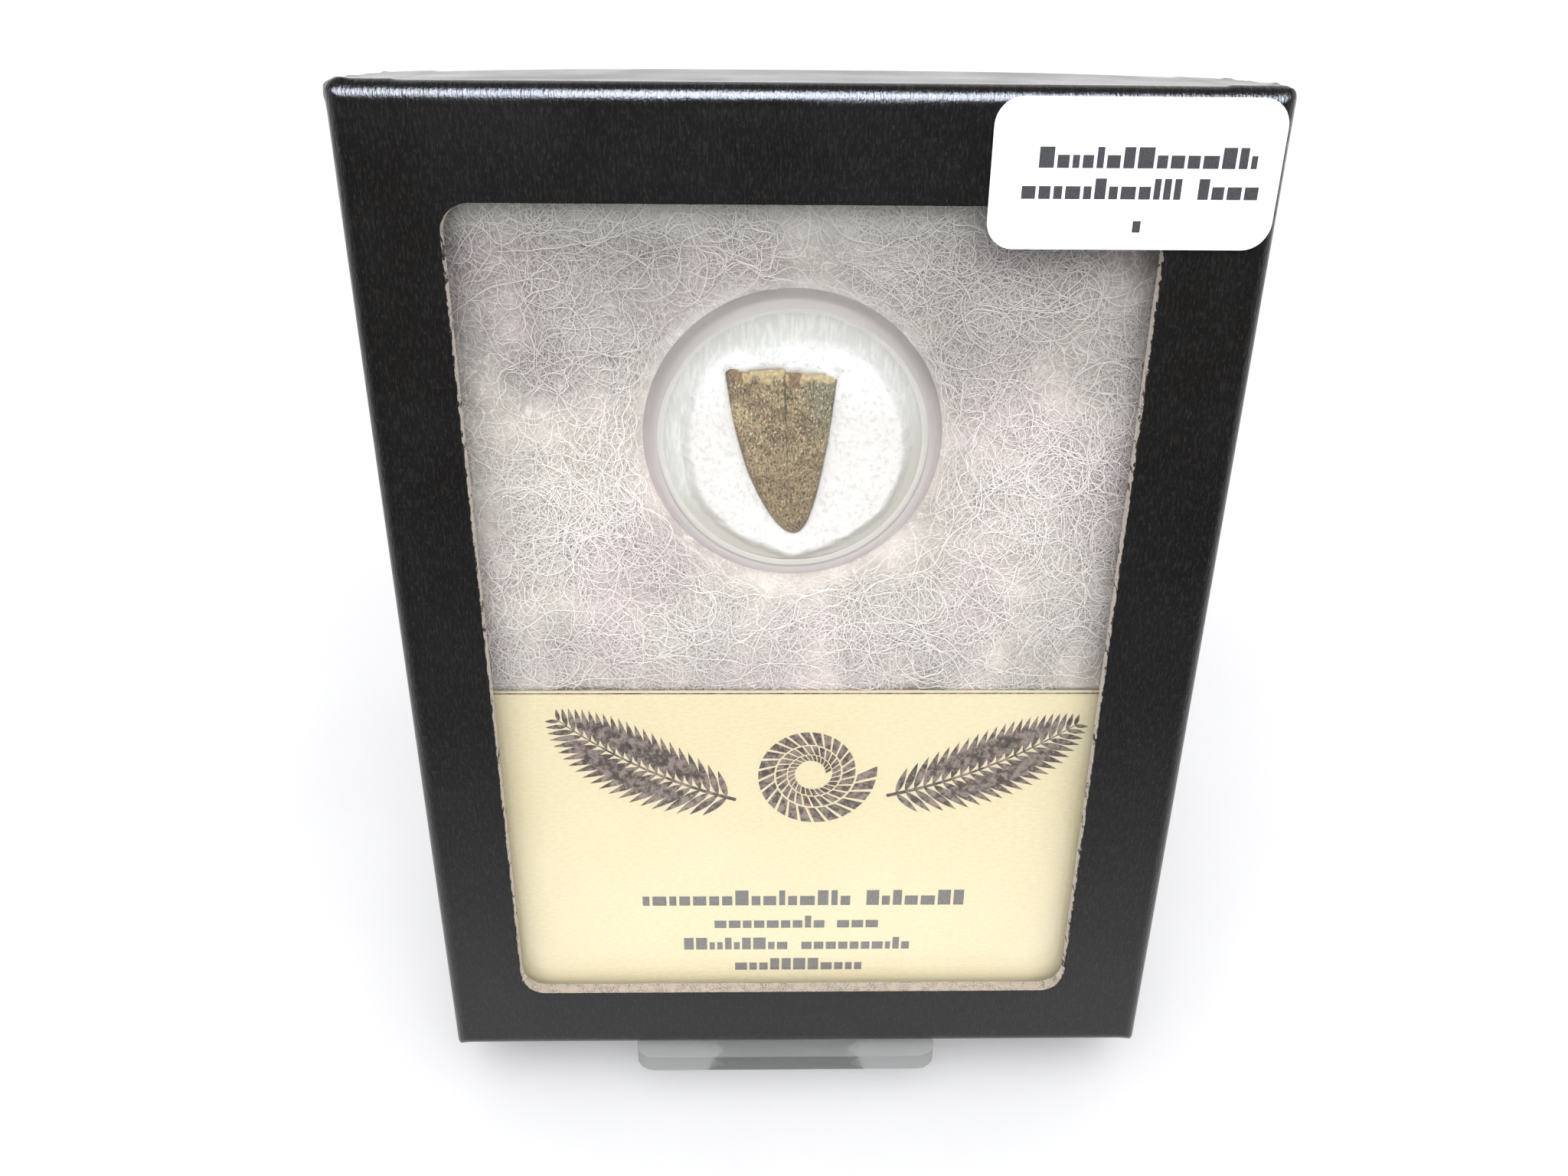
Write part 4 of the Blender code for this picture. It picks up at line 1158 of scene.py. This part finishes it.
def outline_distance(points, outline):
    """Distance of each point from a closed outline, negative inside it."""
    start, end = outline, np.roll(outline, -1, 0)
    way = end - start
    length = (way**2).sum(1)
    nearest = np.full(len(points), 1e9)
    inside = np.zeros(len(points), bool)
    for a, d, squared, b in zip(start, way, length, end):
        share = np.clip(((points - a) @ d) / max(squared, 1e-18), 0, 1)
        gap = points - a - share[:, None] * d
        nearest = np.minimum(nearest, (gap**2).sum(1))
        crosses = (a[1] > points[:, 1]) != (b[1] > points[:, 1])
        rise = d[1] if abs(d[1]) > 1e-12 else 1e-12
        inside ^= crosses & (points[:, 0] < a[0] + (points[:, 1] - a[1]) * d[0] / rise)
    distance = np.sqrt(nearest)
    return np.where(inside, -distance, distance)


def foam_depth(flat):
    """Depth of the foam's front at points in X and Z, with its dip and pocket, and where it is raised."""
    place = upright(flat)
    away = flat - (RAISED_X, RAISED_Z)
    angle = np.degrees(np.arctan2(away[:, 1], away[:, 0]))
    edge = np.interp(angle, RAISED_ANGLES, RAISED_DISTANCES) + uneven(place, TEAR)
    raised = smooth(RAISED_SLOPE, -RAISED_SLOPE, np.hypot(away[:, 0], away[:, 1]) - edge)
    depth = FOAM_RIM_FRONT + (FOAM_RAISED_FRONT - FOAM_RIM_FRONT) * raised
    depth += uneven(place, *FOAM_LUMPS) * (LOW_LUMPS + raised)
    gap = outline_distance(flat, tooth_outline())
    depth += DIP_DEPTH * np.exp(-np.clip(gap, 0, 1) / DIP_REACH)
    return depth + POCKET_DEPTH * smooth(*POCKET_SPAN, gap), raised


def foam_material():
    """White open-cell foam with fine grey pores, streaked in its low zone, which has painted shade, and with
    painted light towards the top of its raised middle.
    """
    made, tree, sockets = new_material("white_foam")
    place = own_place(tree)
    rise = axis_of(tree, place, "Z")
    low = layered(tree, place, FOAM_LOW_GREY_AND_SHADE, FOAM_STREAKS)
    slant = calculate(tree, "MULTIPLY_ADD", axis_of(tree, place, "X"), FOAM_SLANT, rise)
    # Painted shade: the low zone is darkened towards its lower right
    low = shaded(tree, slant, low, *FOAM_PAINTED_SHADE)
    # Painted light: the raised middle is painted paler towards its top
    high = layered(tree, place, shaded(tree, rise, FOAM_RAISED, *FOAM_TOP_PAINTED_LIGHT), FOAM_PORES)
    relief = bumped(tree, noise_at(tree, place, *FOAM_FINE), *FOAM_RELIEF)
    finish(tree, sockets, mixed(tree, stored(tree, "raised"), low, high), FOAM_ROUGHNESS, relief)
    return made


def make_foam():
    """Foam disc with its torn raised middle in front and its stem in the cup."""
    angle = np.linspace(0, 2 * math.pi, FOAM_SIDES, endpoint=False)
    circle = np.stack([np.cos(angle), np.sin(angle)], 1)
    middle = np.array([[JAR_X, JAR_Z]])
    radii = FOAM_RADIUS * np.linspace(0, 1, FOAM_RINGS + 1)[1:]
    flat = np.concatenate([middle + radius * circle for radius in radii])
    depth, raised = foam_depth(flat)
    rings = [upright(flat, depth)]
    steps = ((FOAM_RADIUS, FOAM_SHOULDER), (FOAM_STEM_RADIUS, FOAM_SHOULDER), (FOAM_STEM_RADIUS, FOAM_BACK))
    for radius, back in steps:
        rings.append(upright(middle + radius * circle, back))
    ends = [(JAR_X, foam_depth(middle)[0][0], JAR_Z), (JAR_X, FOAM_BACK, JAR_Z)]
    points, polygons = ring_body(rings, ends, FOAM_SIDES)
    foam = build("foam_torn", points, polygons, [foam_material()], ["foam_insert"])
    store(foam, "raised", np.concatenate([raised, np.zeros(len(points) - len(raised))]))


def pad_depth(flat):
    """Depth of the wadding's front: lumpy, pressed back by the card, and hollow where the jar sits."""
    depth = PAD_REST + uneven(upright(flat), PAD_LUMPS)
    depth = np.maximum(depth, INSIDE_FRONT + CARD_THICKNESS + PRESSED_GAP)
    depth += PRESSED_DEPTH * smooth(*PRESSED_SPAN, flat[:, 1])
    away = np.hypot(flat[:, 0] - JAR_X, flat[:, 1] - JAR_Z)
    slope = smooth(HOLLOW_RADIUS + HOLLOW_SLOPE, HOLLOW_RADIUS, away)
    depth += (INSIDE_FRONT + BEVEL_DEPTH - depth) * slope
    depth = np.maximum(depth, INSIDE_FRONT + LEAST_GAP)
    hollow = smooth(HOLLOW_RADIUS, HOLLOW_RADIUS - HOLLOW_WALL, away)
    return depth + (INSIDE_FRONT + CUP_BASE_DEPTH + JAR_GAP - depth) * hollow


def make_pad():
    """Wadding pad that fills the tray, as one closed body."""
    columns = int((PAD_RIGHT - PAD_LEFT) / PAD_STEP)
    rows = int((PAD_TOP - PAD_BOTTOM) / PAD_STEP)
    x, z = np.meshgrid(np.linspace(PAD_LEFT, PAD_RIGHT, columns), np.linspace(PAD_BOTTOM, PAD_TOP, rows))
    flat = np.column_stack([x.ravel(), z.ravel()])
    index = np.arange(rows * columns).reshape(rows, columns)
    border = np.concatenate([index[0, :-1], index[:-1, -1], index[-1, :0:-1], index[:0:-1, 0]])
    ring = np.arange(len(flat), len(flat) + len(border))
    walls = np.stack([border, ring, np.roll(ring, -1), np.roll(border, -1)], 1)
    centre = np.array([[(PAD_LEFT + PAD_RIGHT) / 2, INSIDE_BACK, (PAD_BOTTOM + PAD_TOP) / 2]])
    points = np.concatenate([upright(flat, pad_depth(flat)), upright(flat[border], INSIDE_BACK), centre])
    polygons = [grid_faces(rows, columns), walls, fan(len(points) - 1, ring, flip=True)]
    white = wadding_material("wadding_pad_white", PAD_DARK, PAD_LIGHT, PAD_TOP_PAINTED_LIGHT, True)
    pad = build("wadding_pad", points, polygons, [white], ["batting"])


def fibre_paths(rng, count, steps, shortest, longest, nearest, deepest):
    """Curling paths in front of the pad, as an array of fibre, step and point."""
    size = count * FIBRES_TRIED
    x = rng.uniform(PAD_LEFT, PAD_RIGHT, size)
    z = rng.uniform(CARD_TOP - FIBRE_REACH, PAD_TOP, size)
    tuft = field(upright(np.column_stack([x, z])), *TUFT_FIELD) - THINNING * smooth(*THIN_ZONE, z)
    kept = tuft + rng.uniform(*TUFT_SPREAD, size) > 0
    x, z = x[kept], z[kept]
    size = len(x)
    length = rng.uniform(shortest, longest, size)[:, None]
    heading = rng.uniform(0, 2 * math.pi, size)[:, None]
    bend = rng.normal(0, FIBRE_BEND, size)[:, None]
    wave = rng.uniform(0, FIBRE_WAVE, size)[:, None]
    beat = rng.uniform(*FIBRE_BEAT, size)[:, None]
    phase = rng.uniform(0, 2 * math.pi, size)[:, None]
    lift = rng.uniform(nearest, deepest, size)[:, None]
    tilt = rng.normal(0, FIBRE_TILT, size)[:, None]
    along = np.linspace(-0.5, 0.5, steps + 1)[None] * length
    way = heading + bend * along + wave * np.sin(beat * along + phase)
    path_x = np.cumsum(np.cos(way), 1) * (length / steps)
    path_z = np.cumsum(np.sin(way), 1) * (length / steps)
    path_x += (x - path_x.mean(1))[:, None]
    path_z += (z - path_z.mean(1))[:, None]
    ripple = FIBRE_RIPPLE * np.sin(RIPPLE_BEAT * beat * along + 2 * phase)
    path_y = INSIDE_FRONT + FIBRE_FRONT + lift + tilt * along / length + np.abs(ripple)
    fits = np.hypot(path_x - JAR_X, path_z - JAR_Z).min(1) > CAP_RADIUS + CAP_MARGIN
    behind_card = path_y > INSIDE_FRONT + CARD_THICKNESS + CARD_FRONT_MARGIN
    fits &= ((path_z > CARD_TOP + CARD_TOP_MARGIN) | behind_card).all(1)
    fits &= path_z.max(1) < PAD_TOP - FIBRE_MARGIN
    fits &= (path_x.min(1) > PAD_LEFT + FIBRE_MARGIN) & (path_x.max(1) < PAD_RIGHT - FIBRE_MARGIN)
    fits &= path_y.min(1) > INSIDE_FRONT + GLASS_MARGIN
    return np.stack([path_x, path_y, path_z], 2)[fits][:count]


def make_fibres():
    """Polyester fibres as thin closed three-sided tubes in front of the pad."""
    white = wadding_material("wadding_fibre_white", FIBRE_DARK, FIBRE_LIGHT, FIBRE_TOP_PAINTED_LIGHT, False)
    rng = np.random.default_rng(FIBRE_SEED)
    for name, count, steps, shortest, longest, thickness, nearest, deepest in FIBRE_KINDS:
        paths = fibre_paths(rng, count, steps, shortest, longest, nearest, deepest)
        way = np.gradient(paths, axis=1)
        way /= np.linalg.norm(way, axis=2, keepdims=True)
        across = np.cross(way, (0.0, 1.0, 0.0))
        across /= np.linalg.norm(across, axis=2, keepdims=True)
        over = np.cross(across, way)
        from_end = np.minimum(np.arange(steps + 1), np.arange(steps, -1, -1)) / steps
        taper = np.minimum(1, FIBRE_END + FIBRE_TAPER * from_end)
        radius = thickness * taper * rng.uniform(*FIBRE_THICKNESSES, (len(paths), 1))
        corners = []
        for turn in (math.pi / 2, math.pi * 7 / 6, math.pi * 11 / 6):
            spoke = math.cos(turn) * across + math.sin(turn) * over
            corners.append(paths + spoke * radius[:, :, None])
        points = np.stack(corners, 2)
        fibre_count, stops = points.shape[:2]
        base = (np.arange(fibre_count) * stops * 3)[:, None, None]
        tube = grid_faces(stops, 3, wrap_columns=True)
        ends = np.array([[0, 2, 1], [stops * 3 - 3, stops * 3 - 2, stops * 3 - 1]])
        polygons = [(base + part).reshape(-1, part.shape[1]) for part in (tube, ends)]
        build(name, points.reshape(-1, 3), polygons, [white])


def flat_piece(name, outlines, front, back, slot, materials, replaces=()):
    """Thin plates, one for each outline in X and Z, between two depths."""
    points, polygons = [], {}
    first = 0
    for outline in outlines:
        outline = np.asarray(outline)
        count = len(outline)
        points += [upright(outline, front), upright(outline, back)]
        ring = np.arange(first, first + count)
        walls = np.stack([ring, ring + count, np.roll(ring + count, -1), np.roll(ring, -1)], 1)
        polygons.setdefault(4, []).append(walls)
        polygons.setdefault(count, []).append(ring[None])
        polygons.setdefault(count, []).append((ring + count)[None, ::-1])
        first += 2 * count
    parts = [np.concatenate(parts) for parts in polygons.values()]
    build(name, np.concatenate(points), parts, materials, replaces, PLATE_SMOOTH_ANGLE)


def bar(left, right, middle, height):
    """A thin bar with round ends."""
    radius = height / 2
    ends = []
    for centre, start in ((right - radius, -math.pi / 2), (left + radius, math.pi / 2)):
        for angle in np.linspace(start, start + math.pi, BAR_STEPS):
            ends.append((centre + radius * math.cos(angle), middle + radius * math.sin(angle)))
    return ends


def word(left, right, middle, height, rng):
    """A row of small plain blocks of uneven widths and heights, which stands for a word."""
    blocks = []
    place = left
    while place < right - LEAST_BLOCK * height:
        width = height * rng.uniform(*BLOCK_WIDTHS)
        end = min(place + width, right)
        rise = height * (LOW_BLOCK if rng.random() < LOW_BLOCK_SHARE else 1.0)
        bottom = middle - height / 2
        blocks.append([(place, bottom), (end, bottom), (end, bottom + rise), (place, bottom + rise)])
        place = end + BLOCK_GAP * height
    return blocks


def words(lines, seed):
    rng = np.random.default_rng(seed)
    return [block for z, height, parts in lines for a, b in parts for block in word(a, b, z, height, rng)]


def ink_material(name, dark, light, scale):
    made, tree, sockets = new_material(name)
    spread = noise_at(tree, own_place(tree), scale, *INK_DETAIL)
    finish(tree, sockets, shaded(tree, spread, dark, INK_SPAN, light), INK_ROUGHNESS)
    return made


def card_material():
    made, tree, sockets = new_material("cream_card_stock")
    place = own_place(tree)
    fibre = noise_at(tree, stretched(tree, place, CARD_STRETCH), *CARD_FIBRE)
    tone = layered(tree, place, shaded(tree, fibre, CARD_DARK, *CARD_LIGHT), CARD_CLOUD)
    finish(tree, sockets, tone, CARD_ROUGHNESS, bumped(tree, fibre, *CARD_RELIEF))
    return made


def leaflet(root, heading, length, width):
    """A lens-shaped leaflet from its root, in X and Z."""
    share = np.linspace(0, 1, LEAFLET_STEPS)
    half = width / 2 * np.sin(math.pi * share**LEAFLET_TAPER)
    way = np.array((math.cos(heading), math.sin(heading)))
    side = np.array((-way[1], way[0]))
    middle = np.array(root) + length * share[:, None] * way
    upper = middle + half[:, None] * side
    lower = middle - half[:, None] * side
    return np.concatenate([upper, lower[-2:0:-1]])


def fern(root, heading, length, bend, reach):
    """A fern frond: a curved stem with paired leaflets that shorten towards its tip."""
    plates = []
    place = np.array(root, float)
    stem = [place]
    start, growth, power = FERN_SWELL
    for pair in range(FERN_PAIRS):
        share = pair / FERN_PAIRS
        turn = heading + bend * share
        place = place + length / FERN_PAIRS * np.array((math.cos(turn), math.sin(turn)))
        stem.append(place)
        size = reach * math.sin(math.pi * min(1, start + growth * share)) ** power
        for side in (-1, 1):
            lean = turn + side * math.radians(LEAFLET_LEAN[0] + LEAFLET_LEAN[1] * share)
            plates.append(leaflet(place, lean, size, LEAFLET_WIDTH[0] * size + LEAFLET_WIDTH[1]))
    stem = np.array(stem)
    way = np.gradient(stem, axis=0)
    way /= np.linalg.norm(way, axis=1, keepdims=True)
    side = np.column_stack([-way[:, 1], way[:, 0]])
    half = np.linspace(*STEM_HALF_WIDTH, len(stem))[:, None]
    plates.append(np.concatenate([stem + side * half, (stem - side * half)[::-1]]))
    return plates


def coiled_shell():
    """A coiled shell in profile: a spiral of ribbed plates."""
    plates = []
    growth = SHELL_NARROWING ** (1 / SHELL_TURNS)
    for rib in range(SHELL_TURNS * SHELL_RIBS):
        ends = []
        for part in RIB_ENDS:
            turns = (rib + part) / SHELL_RIBS
            outer = SHELL_RADIUS * growth ** (SHELL_TURNS - turns)
            ends.append((2 * math.pi * turns, outer, outer * growth * WHORL_OVERLAP))
        (a, outer_a, inner_a), (b, outer_b, inner_b) = ends
        corners = ((a, inner_a), (a + RIB_LEAN, outer_a), (b + RIB_LEAN, outer_b), (b, inner_b))
        plates.append([(SHELL_X + r * math.cos(t), SHELL_Z + r * math.sin(t)) for t, r in corners])
    return plates


def make_card():
    """The cream card, its lines of blocks, and its motif with the dark line along its top edge."""
    sizes = (CARD_LEFT, CARD_RIGHT, CARD_BOTTOM, CARD_TOP, CARD_CORNER)
    outline = rounded_outline(*sizes, *CARD_STEPS)[0]
    back = INSIDE_FRONT + CARD_THICKNESS
    flat_piece("card_sheet", [outline], INSIDE_FRONT, back, "cream_card", [card_material()], ["label_card"])
    depths = (INSIDE_FRONT - INK_LIFT, INSIDE_FRONT)
    grey_ink = ink_material("card_grey_ink", *CARD_INK)
    flat_piece("card_printed_lines", words(CARD_LINES, CARD_SEED), *depths, "cream_card", [grey_ink])
    plates = coiled_shell()
    for off_x, off_z, heading, length, bend, reach in FERNS:
        plates += fern((SHELL_X + off_x, SHELL_Z + off_z), heading, length, bend, reach)
    line = (CARD_LEFT + CARD_CORNER, CARD_RIGHT - CARD_CORNER, CARD_TOP - TOP_LINE_DROP, TOP_LINE_HEIGHT)
    plates.append(bar(*line))
    brown_ink = ink_material("card_brown_ink", *MOTIF_INK)
    flat_piece("card_printed_motif", plates, *depths, "cream_card", [brown_ink])


def make_sticker():
    """The white sticker with its lines of blocks."""
    paper, tree, sockets = new_material("sticker_paper")
    fibre = noise_at(tree, own_place(tree), *STICKER_FIBRE)
    white = mixed(tree, fibre, STICKER_DARK, STICKER_LIGHT)
    finish(tree, sockets, white, STICKER_ROUGHNESS, bumped(tree, fibre, *STICKER_RELIEF))
    outline = rounded_outline(*STICKER, *STICKER_STEPS)[0]
    depths = (STICKER_FRONT, STICKER_BACK)
    flat_piece("sticker_label", [outline], *depths, "white_sticker", [paper], ["sticker"])
    depths = (STICKER_FRONT - INK_LIFT, STICKER_FRONT)
    ink = ink_material("sticker_ink", *STICKER_INK)
    flat_piece("sticker_printed_lines", words(STICKER_LINES, STICKER_SEED), *depths, "white_sticker", [ink])


def acrylic_material():
    """Clear acrylic whose front ledge is milky towards both ends, as painted light that stands for the white
    surroundings seen through them.
    """
    made = clear_material("clear_acrylic", *ACRYLIC)
    tree = made.node_tree
    middle = cad_low.y + LEDGE_FROM_FRONT
    place = own_place(tree)
    depth = axis_of(tree, place, "Y")
    off = distance_to(tree, axis_of(tree, place, "X"), EASEL_X)
    edge = calculate(tree, "MULTIPLY_ADD", distance_to(tree, depth, middle), CLEAR_ARROW, off)
    on_ledge = ranged(tree, depth, *(middle + reach for reach in LEDGE_BACK_SPAN))
    # Painted light: the ledge turns milky towards both ends, standing for the white surroundings seen through
    # them
    milky_ends = product(tree, ranged(tree, edge, *CLEAR_SPAN), on_ledge)
    clearness = mixed_number(tree, milky_ends, *CLEAR_AND_MILKY)
    plug(tree, tree.nodes["Principled BSDF"].inputs["Transmission Weight"], clearness)
    return made


def dress_nodes():
    """Finishes of the CAD nodes that stay: the pane, the tray and the easel."""
    finishes = {
        "glass": clear_material("window_glass", *PANE_GLASS),
        "tray": paper_material("tray_paper", (LEAN, 0, 0)),
        "easel": acrylic_material(),
    }
    for name, material in finishes.items():
        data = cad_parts[name].data
        data.materials.clear()
        data.materials.append(material)


def make_floor():
    """The pale floor that the display stands on."""
    made, tree, sockets = new_material("pale_floor")
    pale = mixed(tree, noise_at(tree, own_place(tree), *FLOOR_CLOUD), FLOOR_DARK, FLOOR_LIGHT)
    ahead = axis_of(tree, own_place(tree), "Y")
    mirrored = add_node(tree, "ShaderNodeLightPath").outputs["Is Glossy Ray"]
    # Painted shade on the floor in front and painted light behind it, seen only in the box's reflections
    for span, colour in ((LIT_SPAN, LIT_FLOOR), (DIM_SPAN, DIM_FLOOR)):
        pale = mixed(tree, product(tree, mirrored, ranged(tree, ahead, *span)), pale, colour)
    finish(tree, sockets, pale, FLOOR_ROUGHNESS)
    data = bpy.data.meshes.new("floor")
    data.from_pydata(FLOOR_CORNERS, [], [(0, 1, 2, 3)])
    data.materials.append(made)
    floor = bpy.data.objects.new("floor", data)
    bpy.context.scene.collection.objects.link(floor)


def make_world():
    """A pale room, lit overhead, in which the box mirrors one strong lamp and a dim front and ceiling."""
    world = bpy.data.worlds.new("pale_room")
    world.use_nodes = True
    bpy.context.scene.world = world
    tree = world.node_tree
    way = add_node(tree, "ShaderNodeTexCoord").outputs["Generated"]
    rays = add_node(tree, "ShaderNodeLightPath").outputs
    mirrored = product(tree, rays["Is Glossy Ray"], without(tree, rays["Is Transmission Ray"]))

    def patch(direction, outer, inner, level):
        """Brightness of a round soft-edged patch of the room around a direction."""
        inputs = {0: way, 1: Vector(direction).normalized()}
        near = add_node(tree, "ShaderNodeVectorMath", inputs, operation="DOT_PRODUCT").outputs["Value"]
        return ranged(tree, near, math.cos(math.radians(outer)), math.cos(math.radians(inner)), 0, level)

    height = axis_of(tree, way, "Z")
    mirror_lamp = product(tree, mirrored, patch(*MIRRORED_LAMP))
    front = product(tree, mirrored, patch(*DIM_FRONT))
    ceiling = product(tree, mirrored, ranged(tree, height, *DIM_CEILING_SPAN))
    room = product(tree, without(tree, front), without(tree, ceiling))
    room = product(tree, room, mixed_number(tree, mirrored, ranged(tree, height, *HORIZON_SPAN), 1.0))
    lamps = mixed_number(tree, mirrored, patch(*OVERHEAD_LAMP), mirror_lamp)
    room = calculate(tree, "ADD", room, lamps)
    background = tree.nodes["Background"].inputs
    tinted = calculate(tree, "MINIMUM", mirror_lamp, 1.0)
    plug(tree, background["Color"], mixed(tree, tinted, ROOM_TINT, MIRRORED_TINT))
    plug(tree, background["Strength"], mixed_number(tree, rays["Is Camera Ray"], room, 1.0))


def make_camera():
    """The camera of the photo, fitted to the box."""
    data = bpy.data.cameras.new("camera")
    data.sensor_width = SENSOR
    data.lens = FOCAL_PIXELS / PHOTO_WIDTH * SENSOR
    data.clip_start, data.clip_end = CAMERA_RANGE
    camera = bpy.data.objects.new("camera", data)
    bpy.context.scene.collection.objects.link(camera)
    turn = Euler([math.radians(angle) for angle in CAMERA_TURNS]).to_matrix().to_4x4()
    camera.matrix_world = DISPLAY @ Matrix.Translation(CAMERA_PLACE) @ turn
    bpy.context.scene.camera = camera


bpy.context.scene.view_settings.view_transform = "Standard"
make_camera()
make_world()
make_floor()
make_lid()
make_jar()
make_foam()
make_tooth()
make_pad()
make_fibres()
make_card()
make_sticker()
dress_nodes()
